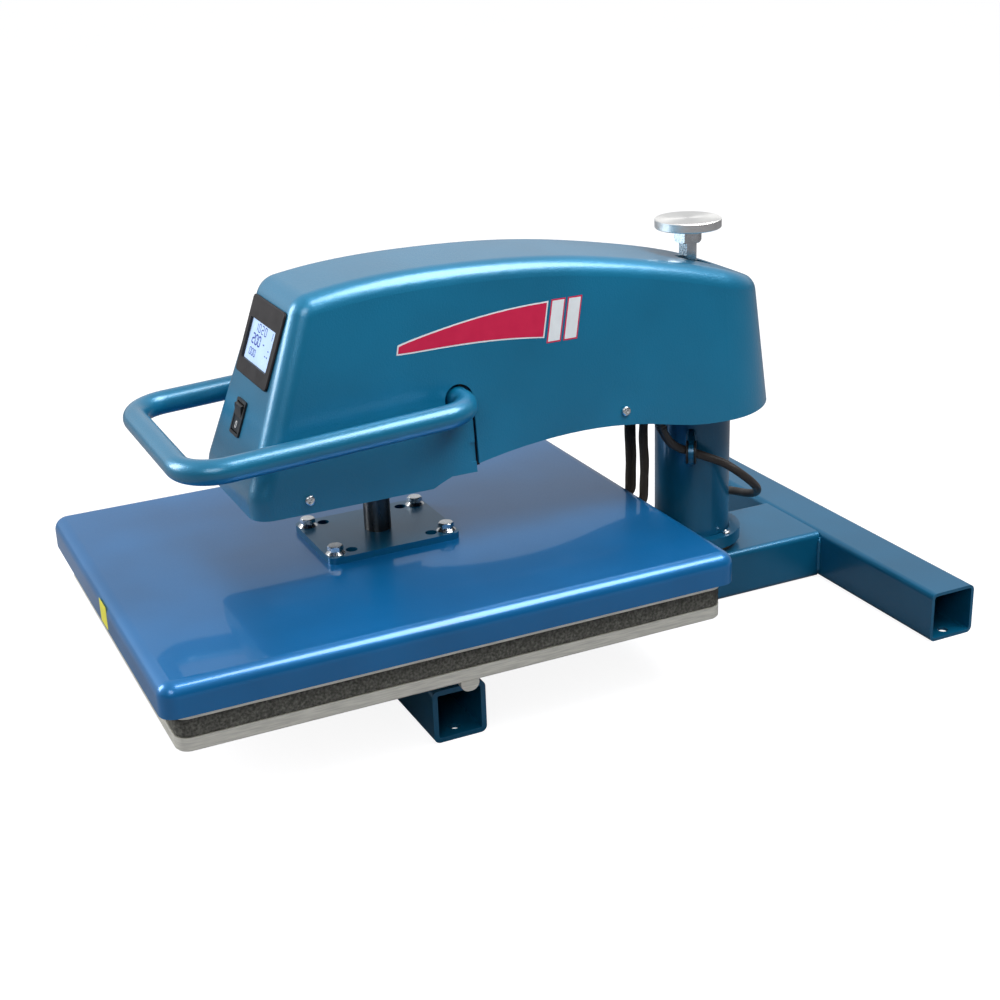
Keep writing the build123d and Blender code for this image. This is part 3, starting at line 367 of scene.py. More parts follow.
def to_mesh(name, builder):
    bmesh.ops.recalc_face_normals(builder, faces=builder.faces)
    data = bpy.data.meshes.new(name)
    builder.to_mesh(data)
    builder.free()
    return data


def ring_points(centre, side, up, radius, count):
    angles = [math.tau * i / count for i in range(count)]
    return [centre + radius * (math.cos(angle) * side + math.sin(angle) * up) for angle in angles]


def bridge(builder, rings, close_ends=True):
    loops = [[builder.verts.new(p) for p in points] for points in rings]
    count = len(loops[0])
    for before, after in zip(loops, loops[1:]):
        for i in range(count):
            j = (i + 1) % count
            builder.faces.new((before[i], before[j], after[j], after[i]))
    if close_ends:
        builder.faces.new(loops[0])
        builder.faces.new(loops[-1])


def along(points):
    """A frame that doesn't twist, carried from point to point: (point, side, up) for each."""
    frames = []
    side = None
    for i, point in enumerate(points):
        ahead = points[min(i + 1, len(points) - 1)] - points[max(i - 1, 0)]
        ahead.normalize()
        if side is None:
            side = ahead.orthogonal()
        side = (side - ahead * side.dot(ahead)).normalized()
        frames.append((point, side, ahead.cross(side)))
    return frames


def tube(builder, points, radius, count=20):
    """A closed tube along the points; radius is a number or a function of the share travelled."""
    frames = along(points)
    last = len(frames) - 1
    size = radius if callable(radius) else lambda share: radius
    rings = [ring_points(point, side, up, size(i / last), count)
             for i, (point, side, up) in enumerate(frames)]
    bridge(builder, rings)


def ease(share):
    """A smooth step from 0 to 1."""
    return share * share * (3 - 2 * share)


def smooth_line(name, controls, resolution=10):
    """Points along the NURBS spline that has these control points."""
    curve = bpy.data.curves.new(name, "CURVE")
    curve.dimensions = "3D"
    curve.resolution_u = resolution
    spline = curve.splines.new("NURBS")
    spline.points.add(len(controls) - 1)
    for point, place_at in zip(spline.points, controls):
        point.co = (*place_at, 1)
    spline.order_u = 3
    spline.use_endpoint_u = True
    holder = bpy.data.objects.new(name, curve)
    bpy.context.scene.collection.objects.link(holder)
    bpy.context.view_layer.update()
    mesh_data = bpy.data.meshes.new_from_object(holder)
    points = [v.co.copy() for v in mesh_data.vertices]
    bpy.data.objects.remove(holder)
    return points


def resample(points, count):
    """The same line, in equal steps."""
    lengths = [0.0]
    for a, b in zip(points, points[1:]):
        lengths.append(lengths[-1] + (b - a).length)
    made = []
    i = 0
    for k in range(count):
        goal = lengths[-1] * k / (count - 1)
        while i < len(points) - 2 and lengths[i + 1] < goal:
            i += 1
        made.append(points[i].lerp(points[i + 1], (goal - lengths[i]) / (lengths[i + 1] - lengths[i])))
    return made


def squared_ring(centre, side, up, half_width, half_height, power, count):
    """Points round a superellipse: 2 is an ellipse, and more is nearer to a rectangle."""
    points = []
    for i in range(count):
        angle = math.tau * i / count
        c, s = math.cos(angle), math.sin(angle)
        across = math.copysign(abs(c) ** (2 / power), c) * half_width
        points.append(centre + across * side + math.copysign(abs(s) ** (2 / power), s) * half_height * up)
    return points


def rounded_outline(width, depth, corner, steps):
    """Plan points of a rectangle with round corners, about its centre."""
    points = []
    for quarter, (sx, sy) in enumerate(((1, 1), (-1, 1), (-1, -1), (1, -1))):
        for i in range(steps + 1):
            angle = math.radians(90 * (quarter + i / steps))
            points.append((sx * (width / 2 - corner) + corner * math.cos(angle),
                           sy * (depth / 2 - corner) + corner * math.sin(angle)))
    return points


def slab(builder, corners, thickness):
    """A thin plate with the given corners as its back, raised along the thickness vector."""
    back = [builder.verts.new(p) for p in corners]
    front = [builder.verts.new(p + thickness) for p in corners]
    builder.faces.new(back)
    builder.faces.new(front)
    for i in range(len(back)):
        j = (i + 1) % len(back)
        builder.faces.new((back[i], back[j], front[j], front[i]))


def lathe(builder, origin, axis, profile, count=32):
    """A turned shape: profile gives (distance along the axis, radius)."""
    side = axis.orthogonal().normalized()
    up = axis.cross(side)
    bridge(builder, [ring_points(origin + along_axis * axis, side, up, radius, count)
                     for along_axis, radius in profile])


# ---- power cord ------------------------------------------------------------------------


def coil_points():
    """Two layers of turns: in along the upper layer, down, and out along the lower one."""
    upper, lower = 1.5 * CORD_D, 0.5 * CORD_D
    inner, outer = COIL_TURNS[0], COIL_TURNS[-1]
    innermost = len(COIL_TURNS) - 1.0
    inward = len(COIL_TURNS) * 360.0
    outward = (len(COIL_TURNS) - 1) * 360.0 + (COIL_END - COIL_START) % 360.0
    total = inward + outward
    points = []
    steps = int(total / 360.0 * STEPS_PER_TURN)
    for i in range(1, steps + 1):
        turned_by = total * i / steps
        turns = turned_by / 360.0
        if turned_by <= inward:
            depth = min(turns, innermost)
        else:
            depth = max(0.0, 2.0 * innermost - (turns - 1.0))
        radius = outer - depth * (outer - inner) / innermost
        fall = min(1.0, max(0.0, (turned_by - inward + COIL_FALL_BEFORE) / COIL_FALL_OVER))
        height = upper + (lower - upper) * ease(fall)
        angle = math.radians(COIL_START + turned_by)
        points.append((COIL_CENTRE.x + radius * math.cos(angle),
                       COIL_CENTRE.y + radius * math.sin(angle), height))
    return points


def power_cord():
    route = DROP_ROUTE + LEAD_ROUTE + coil_points() + TAIL_ROUTE
    points = smooth_line("cord_line", route)
    builder = bmesh.new()
    tube(builder, points, CORD_D / 2)
    cord = piece("power_cord", builder, "cord_rubber")
    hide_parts("power_cord_drop", "power_cord_lead", "power_cord_coil", "power_cord_tail")
    ends = [plug(), plug_relief(points), gland_relief(points)]
    ends += [frame["nodes"]["plug_blades"], frame["nodes"]["cord_gland"]]
    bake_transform(cord)


def plug_frame():
    """The cord's end, the way the plug points, and the plug's sideways direction."""
    end, before = Vector(TAIL_ROUTE[-1]), Vector(TAIL_ROUTE[-2])
    ahead = (end - before).normalized()
    return end, ahead, ahead.cross(UP)


PLUG_RINGS, PLUG_POINTS = 24, 40
PLUG_SQUARENESS = 4.0                       # power of the plug's superellipse section
PLUG_NECK, PLUG_NECK_IN = 0.18, 0.28        # share of the plug that narrows to the neck, and by how much
PLUG_FACE, PLUG_FACE_IN = 0.12, 0.10        # the same at the end with the blades
PLUG_WAIST = 0.09                           # how much its waist takes off the width


def plug():
    """Moulded plug body: a rounded block with a waist for the fingers."""
    end, ahead, side = plug_frame()
    middle = Vector((end.x, end.y, PLUG_H / 2))
    body_l = PLUG_L - NECK_L
    rings = []
    for i in range(PLUG_RINGS + 1):
        share = i / PLUG_RINGS
        near_neck = 1 - min(1.0, share / PLUG_NECK)
        near_face = max(0.0, 1 - (1 - share) / PLUG_FACE)
        rounding = 1 - PLUG_NECK_IN * near_neck ** 2 - PLUG_FACE_IN * near_face ** 2
        waist = 1 - PLUG_WAIST * math.sin(math.pi * share) ** 2
        centre = middle + (NECK_L + share * body_l) * ahead
        rings.append(squared_ring(centre, side, UP, PLUG_W / 2 * rounding * waist,
                                  PLUG_H / 2 * rounding, PLUG_SQUARENESS, PLUG_POINTS))
    builder = bmesh.new()
    bridge(builder, rings)
    body = piece("plug_body", builder, "black_plastic", "base")
    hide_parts("power_plug")
    return body


RELIEF_L, RELIEF_RIBS = 26.0 * MM, 7        # strain reliefs of the cord
RELIEF_SIDES = 24
PLUG_RELIEF_STEPS, GLAND_RELIEF_STEPS = 44, 40
# Where the plug's relief climbs to the plug's middle, in shares of the plug's neck.
RELIEF_RISE = (0.25, 0.5, 0.75, 1.0, 1.15)
BENCH_GAP = 0.1 * MM                        # the plug's relief stays this far above the bench


def ribbed(start, end, rib):
    """Radius along a ribbed relief: its wall at the start and the end, and its ribs, in mm."""
    def radius(share):
        wall = start + (end - start) * share + rib * math.sin(share * RELIEF_RIBS * math.tau)
        return CORD_D / 2 + wall * MM

    return radius


def plug_relief(points):
    """Ribbed strain relief: over the cord's last stretch, then up to the plug's middle."""
    end, ahead, _ = plug_frame()
    over = [p for p in points if (p - end).length < RELIEF_L / 2]
    rise = [end + ahead * (NECK_L * t) + (PLUG_H / 2 - end.z) * ease(t) * UP
            for t in RELIEF_RISE]
    builder = bmesh.new()
    tube(builder, resample(over + rise, PLUG_RELIEF_STEPS), ribbed(0.5, 3.9, 0.5), RELIEF_SIDES)
    for vert in builder.verts:
        vert.co.z = max(vert.co.z, BENCH_GAP)
    return piece("plug_relief", builder, "black_plastic", "base")


def gland_relief(points):
    """Tapered strain relief where the cord leaves the head."""
    line = resample([p for p in points if p.z > DROP_ROUTE[0][2] - RELIEF_L], GLAND_RELIEF_STEPS)
    builder = bmesh.new()
    tube(builder, line, ribbed(2.4, 0.5, 0.35), RELIEF_SIDES)
    return piece("gland_relief", builder, "black_plastic", "head")


# ---- pad -------------------------------------------------------------------------------

PAD_STEP = 4.0 * MM         # longest stretch between two points of the pad's edge
PAD_WAVE = 0.35 * MM        # unevenness of the cut foam edge,
PAD_WAVE_RATE = 60.0        # how fast it changes round the pad,
PAD_WAVE_RISE = 5.0         # and from bottom to top
PAD_WAVE_IN = 0.8           # its middle stands in by this share of it
# Share of the pad's height, and how far in its edge stands there, in mm.
PAD_LEVELS = [(0.0, 1.4), (0.03, 0.6), (0.10, 0.1), (0.3, 0.0), (0.5, 0.25), (0.7, 0.0), (0.90, 0.1),
              (0.97, 0.6), (1.0, 1.4)]


def pad_outline(width, depth):
    """Plan points round the pad, close enough together for the unevenness to show."""
    corners = [Vector(point) for point in rounded_outline(width, depth, PAD_CORNER, 10)]
    outline = []
    for a, b in zip(corners, corners[1:] + corners[:1]):
        cuts = max(1, int((b - a).length / PAD_STEP))
        outline += [a.lerp(b, i / cuts) for i in range(cuts)]
    return outline


def silicone_pad():
    """Foam pad: cut edges, a little uneven, with softened rims, flat where the platens touch it."""
    low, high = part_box("silicone_pad")
    centre = (low + high) / 2
    outline = pad_outline(high.x - low.x, high.y - low.y)
    rings = []
    for share, inset in PAD_LEVELS:
        ring = []
        for point in outline:
            flat = Vector((point.x, point.y, 0))
            uneven = wobble.noise(PAD_WAVE_RATE * flat + Vector((0, 0, PAD_WAVE_RISE * share)))
            wave = PAD_WAVE * (uneven - PAD_WAVE_IN)
            shrink = 1 - (inset * MM - wave) / flat.length
            ring.append(Vector((centre.x + flat.x * shrink, centre.y + flat.y * shrink,
                                low.z + share * (high.z - low.z))))
        rings.append(ring)
    builder = bmesh.new()
    bridge(builder, rings)
    pad = piece("foam_pad", builder, "pad_foam", "base")
    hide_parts("silicone_pad")


# ---- heater cables ---------------------------------------------------------------------

STRAND_APART = 2.8 * MM     # each strand of the double cable, from its middle
STRAND_R = 3.2 * MM
SINGLE_R = 0.88 * CABLE_RIGHT_R     # the single cable, a little thinner than its CAD solid
CABLE_START = 5.0 * MM      # each cable starts this far inside the cover's rear face
# Share of a cable's rise, and how far it sways there, in mm.
CABLE_SWAY = [(0.12, 0.0), (0.27, 0.9), (0.45, -0.8), (0.62, 0.6), (0.8, -0.2), (1.0, 0.0)]
SWAY_ACROSS = 0.6           # sideways sway, as a share of the sway front to rear
SLEEVE_UNEVEN = 0.02        # share of a sleeve's radius that each wave adds and takes off
SLEEVE_WAVES = [(41, 0), (17, 1)]   # radians along the whole sleeve, and where each wave starts
CABLE_STEPS, CABLE_SIDES = 90, 24


def uneven_sleeve(radius):
    def at(share):
        waves = sum(math.sin(rate * share + start) for rate, start in SLEEVE_WAVES)
        return radius * (1 + SLEEVE_UNEVEN * waves)

    return at


def cable(name, x, y_offset, radius, lean):
    """A sleeved cable: out of the cover's rear, round a bend and up into the head, slightly wavy."""
    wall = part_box("platen_cover")[1].y
    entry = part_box("heat_platen")[0].z + CABLE_UP
    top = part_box("heater_cables")[1].z
    middle = wall + CABLE_GAP + y_offset
    route = [(x, wall - CABLE_START, entry), (x, wall + 0.25 * CABLE_GAP, entry),
             (x, middle, entry + 1 * MM)]
    rise = top - 0.5 * MM - entry
    for share, sway in CABLE_SWAY:
        sway *= lean * MM
        route.append((x + SWAY_ACROSS * sway, middle + sway, entry + share * rise))
    builder = bmesh.new()
    tube(builder, resample(smooth_line(name, route), CABLE_STEPS), uneven_sleeve(radius), CABLE_SIDES)
    return builder


def heater_cables():
    strands = [cable("strand_rear", CABLE_LEFT_X, STRAND_APART, STRAND_R, 0.5),
               cable("strand_front", CABLE_LEFT_X, -STRAND_APART, STRAND_R, 0.8),
               cable("cable_right", CABLE_RIGHT_X, 0.0, SINGLE_R, 1.0)]
    joined = bmesh.new()
    for strand in strands:
        data = to_mesh("strand", strand)
        joined.from_mesh(data)
        bpy.data.meshes.remove(data)
    cables = piece("heater_leads", joined, "cable_sleeve", "platen")
    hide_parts("heater_cables")


# ---- markings on the sloped front ------------------------------------------------------

FACE_TILT = math.atan(FACE_LEAN)
FACE_OUT = Vector((0, -math.cos(FACE_TILT), math.sin(FACE_TILT)))
FACE_UP = Vector((0, math.sin(FACE_TILT), math.cos(FACE_TILT)))
INK_T, INK_LIFT = 0.12 * MM, 0.02 * MM      # the display's figures: thickness and gap behind them
# Which of the seven bars each digit lights: top, upper left, upper right, middle, lower left,
# lower right, bottom.
SEGMENTS = {"0": "1110111", "1": "0010010", "2": "1011101"}
# Rows of figures, in mm: left end, lower edge, then a figure's width, height, stroke and pitch.
DISPLAY_ROWS = [("1020 1", -23, 6.0, 4.6, 7.0, 0.9, 8.2), ("200", -25, -5.5, 5.4, 8.4, 1.5, 8.0),
                ("000", -25, -16.0, 3.8, 6.0, 0.9, 6.0)]
# Short marks beside them, in mm: left end, height on the display, length.
DISPLAY_MARKS = [(4, -1.5, 4.0), (14, -9.5, 3.0), (19, -4.0, 3.0), (19, -9.5, 3.0)]
DISPLAY_MARK_STROKE = 1.1 * MM


def on_face(up, x=0.0, above=0.0, out=0.0):
    """A point on the sloped front: its place on the face, then how far above and out from there."""
    foot = Vector((x, FACE_FOOT_Y + FACE_LEAN * (up - FACE_FOOT_UP), HEAD_BASE + up))
    return foot + above * FACE_UP + out * FACE_OUT


def bar(builder, start, end, width):
    """A display bar with pointed ends, between two places on the display's face."""
    start, end = Vector(start), Vector(end)
    ahead = (end - start).normalized()
    side = Vector((-ahead.y, ahead.x)) * width / 2
    tip = ahead * width / 2
    outline = [start, start + tip + side, end - tip + side, end, end - tip - side, start + tip - side]
    corners = [on_face(BEZEL_UP, p.x, p.y, INK_LIFT) for p in outline]
    slab(builder, corners, INK_T * FACE_OUT)


def digit(builder, figure, x, y, width, height, stroke):
    """A seven-bar figure with its lower left corner at x, y."""
    left, right = x, x + width
    low, mid, top = y, y + height / 2, y + height
    ends = [((left, top), (right, top)), ((left, mid), (left, top)), ((right, mid), (right, top)),
            ((left, mid), (right, mid)), ((left, low), (left, mid)), ((right, low), (right, mid)),
            ((left, low), (right, low))]
    for lit, (start, end) in zip(SEGMENTS[figure], ends):
        if lit == "1":
            bar(builder, start, end, stroke)


def display_digits():
    """Three rows of plain figures: a counter, a temperature and a time."""
    builder = bmesh.new()
    for figures, *sizes in DISPLAY_ROWS:
        x, y, width, height, stroke, pitch = (size * MM for size in sizes)
        for i, figure in enumerate(figures):
            if figure != " ":
                digit(builder, figure, x + i * pitch, y, width, height, stroke)
    for x, y, length in DISPLAY_MARKS:
        bar(builder, (x * MM, y * MM), ((x + length) * MM, y * MM), DISPLAY_MARK_STROKE)
    piece("display_digits", builder, "bezel_plastic", "head", DIGIT_INK, smooth=False)


ROCKER_FLAT = 1.4 * MM      # rocker's lower half, out from the head's face
RING_DOWN = 6.8 * MM        # ring mark's centre below the rocker's centre
RING_HALF_W, RING_HALF_H = 2.3 * MM, 3.3 * MM
RING_STROKE, RING_T, RING_LIFT = 0.9 * MM, 0.12 * MM, 0.05 * MM


def rocker_mark():
    """The off mark on the rocker's lower half: a plain upright oval ring."""
    centre = on_face(SWITCH_UP, SWITCH_X, -RING_DOWN, ROCKER_FLAT + RING_LIFT)
    across = Vector((1, 0, 0))
    loops = []
    for inset, lift in ((0.0, 0.0), (0.0, RING_T), (RING_STROKE, RING_T), (RING_STROKE, 0.0)):
        loops.append(squared_ring(centre + lift * FACE_OUT, across, FACE_UP, RING_HALF_W - inset,
                                  RING_HALF_H - inset, 2.0, 36))
    builder = bmesh.new()
    bridge(builder, loops + loops[:1], close_ends=False)
    bmesh.ops.remove_doubles(builder, verts=builder.verts, dist=1e-6)
    piece("rocker_mark", builder, "switch_plastic", "power_switch", MARK_WHITE)


# ---- stripe and sticker ----------------------------------------------------------------

STRIPE_STEPS = 40
STRIPE_FRONT, STRIPE_REAR = -340.0 * MM, -196.0 * MM
STRIPE_UP = 128.0 * MM      # stripe's middle above the head's lower edge at its front end
STRIPE_EDGE = 1.3 * MM      # outline round the stripe
STRIPE_BOW, STRIPE_DROP = 9.0 * MM, 2.0 * MM    # its middle line's bow, and how far its rear end drops
STRIPE_BOW_ANGLE = 2.0      # radians of a sine that the bow follows
STRIPE_TIP, STRIPE_SWELL = 3.0 * MM, 12.0 * MM  # half height at the front, and what it gains by the rear
STRIPE_SWELL_POWER = 0.8
STRIPE_SUNK = -0.2 * MM     # every layer starts this far under the cover's face;
OUTLINE_PROUD, STRIPE_PROUD = 0.10 * MM, 0.18 * MM      # the outlines and the stripe stand this far off it
BLOCK_W, BLOCK_H, BLOCK_GAP, BLOCK_LEAN = 12.0 * MM, 36.0 * MM, 5.0 * MM, 0.22
BLOCK_UP = 4.0 * MM         # the blocks' middle above the stripe's at its front end


def on_side(side, y, z, proud):
    """A point on the head's flat side, and how far it stands off it."""
    return Vector((side * (HEAD_HALF - HEAD_DRAFT * (z - HEAD_BASE) + proud), y, z))


def ribbon(builder, side, edges, low, high):
    """A thin plate along the side: edges gives, for each step, its y and z at the bottom and the top."""
    rings = []
    for (y0, z0), (y1, z1) in edges:
        rings.append([on_side(side, y0, z0, low), on_side(side, y1, z1, low),
                      on_side(side, y1, z1, high), on_side(side, y0, z0, high)])
    bridge(builder, rings)


def swoosh(grow):
    """Edges of the swelling stripe, grown all round by this much."""
    edges = []
    for i in range(STRIPE_STEPS + 1):
        t = i / STRIPE_STEPS
        y = STRIPE_FRONT - grow + t * (STRIPE_REAR - STRIPE_FRONT + 2 * grow)
        bow = STRIPE_BOW * math.sin(STRIPE_BOW_ANGLE * t) - STRIPE_DROP * t
        middle = HEAD_BASE + STRIPE_UP + bow
        half = STRIPE_TIP + STRIPE_SWELL * t ** STRIPE_SWELL_POWER + grow
        edges.append(((y - BLOCK_LEAN * half, middle - half), (y + BLOCK_LEAN * half, middle + half)))
    return edges


def block(number, grow):
    """Edges of a leaning block, grown all round by this much."""
    y = STRIPE_REAR + BLOCK_GAP + (BLOCK_W + BLOCK_GAP) * number + BLOCK_W / 2
    middle = HEAD_BASE + STRIPE_UP + BLOCK_UP
    half_w, half_h = BLOCK_W / 2 + grow, BLOCK_H / 2 + grow
    lean = BLOCK_LEAN * half_h
    return [((y - half_w - lean, middle - half_h), (y - half_w + lean, middle + half_h)),
            ((y + half_w - lean, middle - half_h), (y + half_w + lean, middle + half_h))]


def head_stripes():
    """A plain swelling stripe and two leaning blocks, each with an outline, on both sides."""
    outline, stripe, pale = bmesh.new(), bmesh.new(), bmesh.new()
    for side in (-1, 1):
        ribbon(outline, side, swoosh(STRIPE_EDGE), STRIPE_SUNK, OUTLINE_PROUD)
        ribbon(stripe, side, swoosh(0.0), STRIPE_SUNK, STRIPE_PROUD)
        for number in range(2):
            ribbon(stripe, side, block(number, STRIPE_EDGE), STRIPE_SUNK, OUTLINE_PROUD)
            ribbon(pale, side, block(number, 0.0), STRIPE_SUNK, STRIPE_PROUD)
    piece("stripe_outline", outline, "head_paint", "head", STRIPE_PALE, smooth=False)
    piece("stripe", stripe, "head_paint", "head", STRIPE_CRIMSON, smooth=False)
    piece("stripe_blocks", pale, "head_paint", "head", STRIPE_PALE, smooth=False)


SLOT_Y, SLOT_W = -287.0 * MM, 27.5 * MM     # the handle's slot in the cover
SHADE_SHEET_LOW, SHADE_SHEET_HIGH = 12.0 * MM, 62.0 * MM  # above the head's lower edge
SHADE_SHEET_IN, SHADE_SHEET_T = 6.5 * MM, 1.0 * MM        # its inner face under the cover's outer face, and its thickness
SHADE_SHEET_STEPS = (-0.6, -0.2, 0.2, 0.6)         # places across it, as shares of the slot's width


def slot_shade_sheets():
    """A black sheet behind the handle's slot on each side, below the handle: painted shade inside the slot.
    """
    places = [SLOT_Y + t * SLOT_W for t in SHADE_SHEET_STEPS]
    edges = [((y, HEAD_BASE + SHADE_SHEET_LOW), (y, HEAD_BASE + SHADE_SHEET_HIGH)) for y in places]
    builder = bmesh.new()
    for side in (-1, 1):
        ribbon(builder, side, edges, -SHADE_SHEET_IN, SHADE_SHEET_T - SHADE_SHEET_IN)
    # painted shade: black sheets stand in for the shadow inside the open slot
    piece("slot_shade_sheets", builder, "black_plastic", "head", smooth=False)


STICKER_X, STICKER_Z = 12.0 * MM, 115.5 * MM
STICKER_W, STICKER_H, STICKER_T = 26.0 * MM, 22.0 * MM, 0.15 * MM
STICKER_CORNER, STICKER_SUNK = 1.5 * MM, 0.05 * MM


def sticker():
    """A plain yellow sticker on the cover's front."""
    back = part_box("platen_cover")[0].y + STICKER_SUNK
    outline = rounded_outline(STICKER_W, STICKER_H, STICKER_CORNER, 5)
    builder = bmesh.new()
    slab(builder, [Vector((STICKER_X + x, back, STICKER_Z + z)) for x, z in outline],
         Vector((0, -STICKER_T, 0)))
    piece("sticker", builder, "platen_paint", "platen", STICKER_YELLOW, smooth=False)


# ---- welds and the collar's screw ------------------------------------------------------

BEAD_R, COLUMN_BEAD_R = 3.2 * MM, 2.2 * MM
RIPPLE = 2.6 * MM           # one ripple of a weld bead
BEAD_STEPS = 5              # rings for each ripple
BEAD_LEAST = 0.86           # share of a bead's radius between its ripples
BEAD_RIPPLE = BEAD_UNEVEN = 0.10    # what the ripples add, and what chance adds and takes off
BEAD_END, BEAD_TAPER = 0.3, 6       # share of the radius at each end, and how fast it grows from there
BEAD_PLACE_RATE, BEAD_RUN_RATE = 90, 120    # how fast chance changes from bead to bead, and along one
BEAD_SIDES, BEAD_FEWEST = 14, 8     # points round a bead, and the fewest steps along it


def weld(builder, start, end, radius):
    """A weld bead: a rippled, slightly uneven run between two points."""
    length = (end - start).length
    steps = max(BEAD_FEWEST, int(length / RIPPLE) * BEAD_STEPS)
    points = [start.lerp(end, i / steps) for i in range(steps + 1)]

    def size(share):
        travelled = share * length
        taper = min(1.0, BEAD_TAPER * share + BEAD_END, BEAD_TAPER * (1 - share) + BEAD_END)
        ripple = BEAD_RIPPLE * abs(math.sin(math.pi * travelled / RIPPLE))
        place_in_noise = start * BEAD_PLACE_RATE + Vector((travelled * BEAD_RUN_RATE, 0, 0))
        chance = BEAD_UNEVEN * wobble.noise(place_in_noise)
        return radius * taper * (BEAD_LEAST + ripple + chance)

    tube(builder, points, size, BEAD_SIDES)


def base_welds():
    """Upright beads where the spine's sides meet the cross tubes."""
    front_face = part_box("base_spine_tube")[0].y
    rear_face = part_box("base_spine_tube")[1].y
    lift, short = 0.3 * MM, 5 * MM      # beads stand off the corner, and stop short of the tube's edges
    builder = bmesh.new()
    for side in (-1, 1):
        for face, into in ((front_face, 1), (rear_face, -1)):
            x, y = side * (SPINE_HALF + lift), face + into * lift
            weld(builder, Vector((x, y, short)), Vector((x, y, TUBE - short)), BEAD_R)
    piece("base_welds", builder, "base_paint", "base")


def column_welds():
    """Upright beads on both sides of the cord eye."""
    apart, short = 3.0 * MM, 2 * MM
    outward = Vector((math.cos(EYE_ANGLE), math.sin(EYE_ANGLE), 0))
    across = Vector((-outward.y, outward.x, 0))
    reach = (EYE_HALF - short) * UP
    builder = bmesh.new()
    for side in (-1, 1):
        middle = COLUMN_R * outward + side * apart * across + EYE_UP * UP
        weld(builder, middle - reach, middle + reach, COLUMN_BEAD_R)
    piece("column_welds", builder, "base_paint", "swing_column")


COLLAR_SCREW_ANGLE = math.radians(22.0)
COLLAR_SCREW_OUT = 44.0 * MM
COLLAR_SCREW_SUNK = 0.5 * MM
# The screw's head, in mm: height and radius, up over the dome and down into the socket.
SCREW_PROFILE = [(0.0, 4.2), (1.0, 4.2), (2.0, 3.9), (2.9, 3.1), (3.4, 1.9), (3.4, 1.6), (2.4, 1.5),
                 (2.4, 0.01)]


def collar_screw():
    """Domed screw head in the collar's top."""
    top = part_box("column_collar")[1].z
    outward = Vector((math.cos(COLLAR_SCREW_ANGLE), math.sin(COLLAR_SCREW_ANGLE), 0))
    foot = COLLAR_SCREW_OUT * outward + (top - COLLAR_SCREW_SUNK) * UP
    builder = bmesh.new()
    lathe(builder, foot, UP, [(height * MM, radius * MM) for height, radius in SCREW_PROFILE])
    piece("collar_screw", builder, "zinc", "swing_column")


# ---- light, floor and camera -----------------------------------------------------------

CAMERA_AT = Vector((1.3237, -0.8332, 0.7119))
CAMERA_AZIMUTH, CAMERA_ELEVATION, CAMERA_ROLL = 65.1, 21.41, -2.12
CAMERA_LENS, CAMERA_SENSOR = 57.95, 36.0
SKY_TOWARD = (-0.8, 0.0, 0.6)               # reflections are brightest on this side
SKY = [(0.15, (0.03, 0.03, 0.035)), (0.5, (0.15, 0.15, 0.16)), (0.70, (0.42, 0.43, 0.45)),
       (0.95, (0.62, 0.63, 0.65))]
LIGHT_TARGET = (0, -0.3, 0.15)
FLOOR_REACH, FLOOR_GLOW = 40.0, 0.90
FLOOR_DARK, FLOOR_LIGHT = (0.20, 0.20, 0.21), (0.22, 0.22, 0.23)
WHITE = (1.0, 1.0, 1.0, 1)


def camera():
    azimuth, elevation, roll = (math.radians(x) for x in (CAMERA_AZIMUTH, CAMERA_ELEVATION, CAMERA_ROLL))
    back = Vector((math.sin(azimuth) * math.cos(elevation), -math.cos(azimuth) * math.cos(elevation),
                   math.sin(elevation)))
    right = Vector((math.cos(azimuth), math.sin(azimuth), 0))
    up = back.cross(right)
    turned_right = math.cos(roll) * right + math.sin(roll) * up
    turned_up = -math.sin(roll) * right + math.cos(roll) * up
    lens = bpy.data.cameras.new("camera")
    lens.lens = CAMERA_LENS
    lens.sensor_width = CAMERA_SENSOR
    lens.clip_start, lens.clip_end = 0.05, 50.0
    eye = bpy.data.objects.new("camera", lens)
    bpy.context.scene.collection.objects.link(eye)
    axes = Matrix((turned_right, turned_up, back)).transposed()
    eye.matrix_world = Matrix.Translation(CAMERA_AT) @ axes.to_4x4()
    bpy.context.scene.camera = eye


def soft_box(name, at, width, height, power):
    light = bpy.data.lights.new(name, "AREA")
    light.shape = "RECTANGLE"
    light.size, light.size_y = width, height
    light.energy = power
    lamp = bpy.data.objects.new(name, light)
    bpy.context.scene.collection.objects.link(lamp)
    lamp.location = at
    lamp.rotation_mode = "QUATERNION"
    lamp.rotation_quaternion = (Vector(LIGHT_TARGET) - Vector(at)).to_track_quat("-Z", "Y")


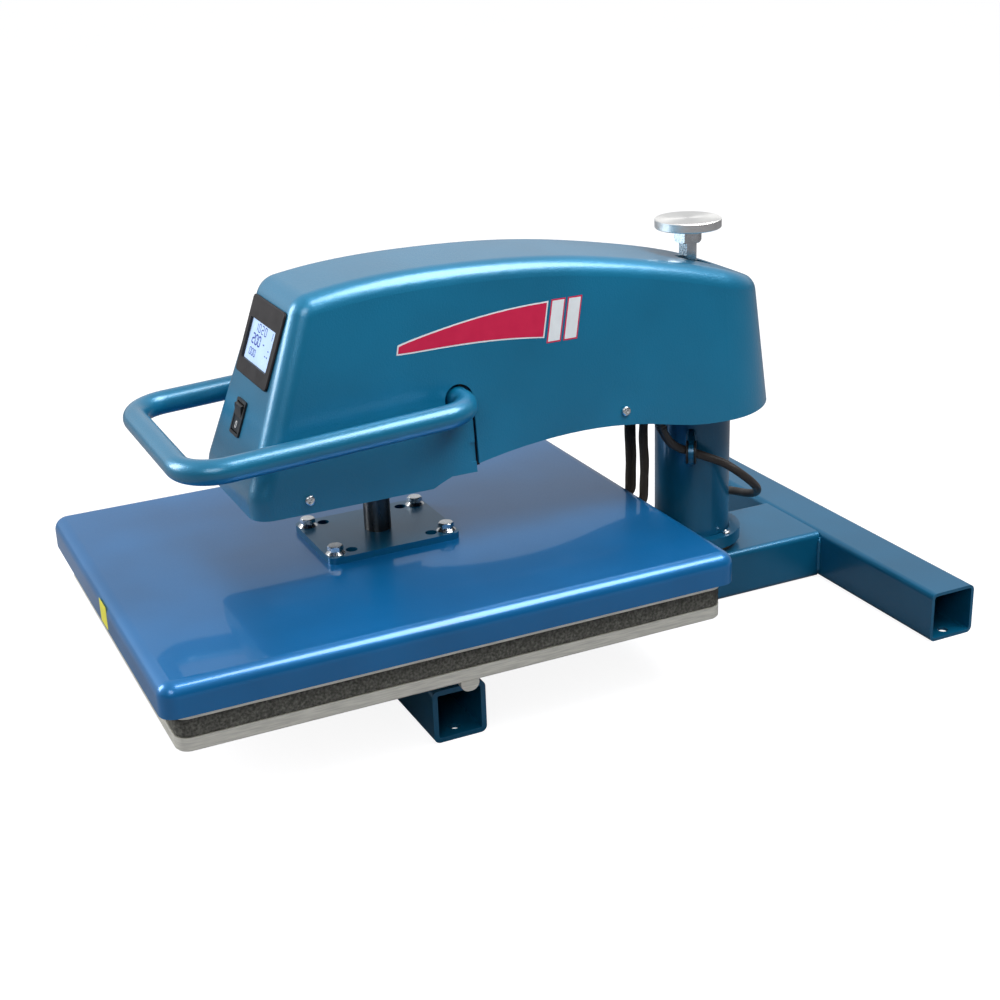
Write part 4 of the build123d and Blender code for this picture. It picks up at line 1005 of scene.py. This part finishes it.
def studio():
    """Pale backdrop; for reflections it is bright on the press's left and above, dark on its right."""
    scene = bpy.context.scene
    scene.view_settings.view_transform = "Standard"
    world = bpy.data.worlds.new("studio")
    scene.world = world
    world.use_nodes = True
    tree = world.node_tree
    background = tree.nodes["Background"]
    seen = add(tree, "Background", Color=WHITE, Strength=1.0)
    toward = add(tree, "VectorMath", operation="DOT_PRODUCT")
    toward.inputs[1].default_value = SKY_TOWARD
    tree.links.new(add(tree, "TexCoord").outputs["Generated"], toward.inputs[0])
    share = add(tree, "MapRange")
    share.inputs["From Min"].default_value = -1.0
    tree.links.new(toward.outputs["Value"], share.inputs["Value"])
    tree.links.new(ramp(tree, share.outputs["Result"], SKY), background.inputs["Color"])
    split_by_ray(tree, background.outputs["Background"], seen.outputs["Background"], "World Output")
    soft_box("overhead", (0.75, 0.5, 2.1), 1.3, 1.3, 62)
    soft_box("front_left", (-1.2, -2.4, 1.3), 1.0, 1.4, 48)
    soft_box("right_front", (2.2, -1.8, 2.0), 1.4, 1.2, 26)


def floor():
    """Pale paper that the camera sees as almost white, with the press's soft shadow on it."""
    builder = bmesh.new()
    builder.faces.new([builder.verts.new((x * FLOOR_REACH, y * FLOOR_REACH, 0))
                       for x, y in ((-1, -1), (1, -1), (1, 1), (-1, 1))])
    data = to_mesh("floor", builder)
    ground = bpy.data.objects.new("floor", data)
    bpy.context.scene.collection.objects.link(ground)
    made, tree, shader = material("floor_paper", Roughness=0.9, Specular_IOR_Level=0.1)
    paper = ramp(tree, noise(tree, 3.0), [(NOISE_LOW, FLOOR_DARK), (NOISE_HIGH, FLOOR_LIGHT)])
    tree.links.new(paper, shader.inputs["Base Color"])
    glow = add(tree, "Emission", Color=WHITE, Strength=FLOOR_GLOW)
    lit = add(tree, "AddShader")
    tree.links.new(shader.outputs["BSDF"], lit.inputs[0])
    tree.links.new(glow.outputs["Emission"], lit.inputs[1])
    split_by_ray(tree, shader.outputs["BSDF"], lit.outputs["Shader"], "Material Output")
    data.materials.append(made)


finish_nodes()
camera()
power_cord()
silicone_pad()
heater_cables()
display_digits()
rocker_mark()
head_stripes()
slot_shade_sheets()
sticker()
base_welds()
column_welds()
collar_screw()
floor()
studio()
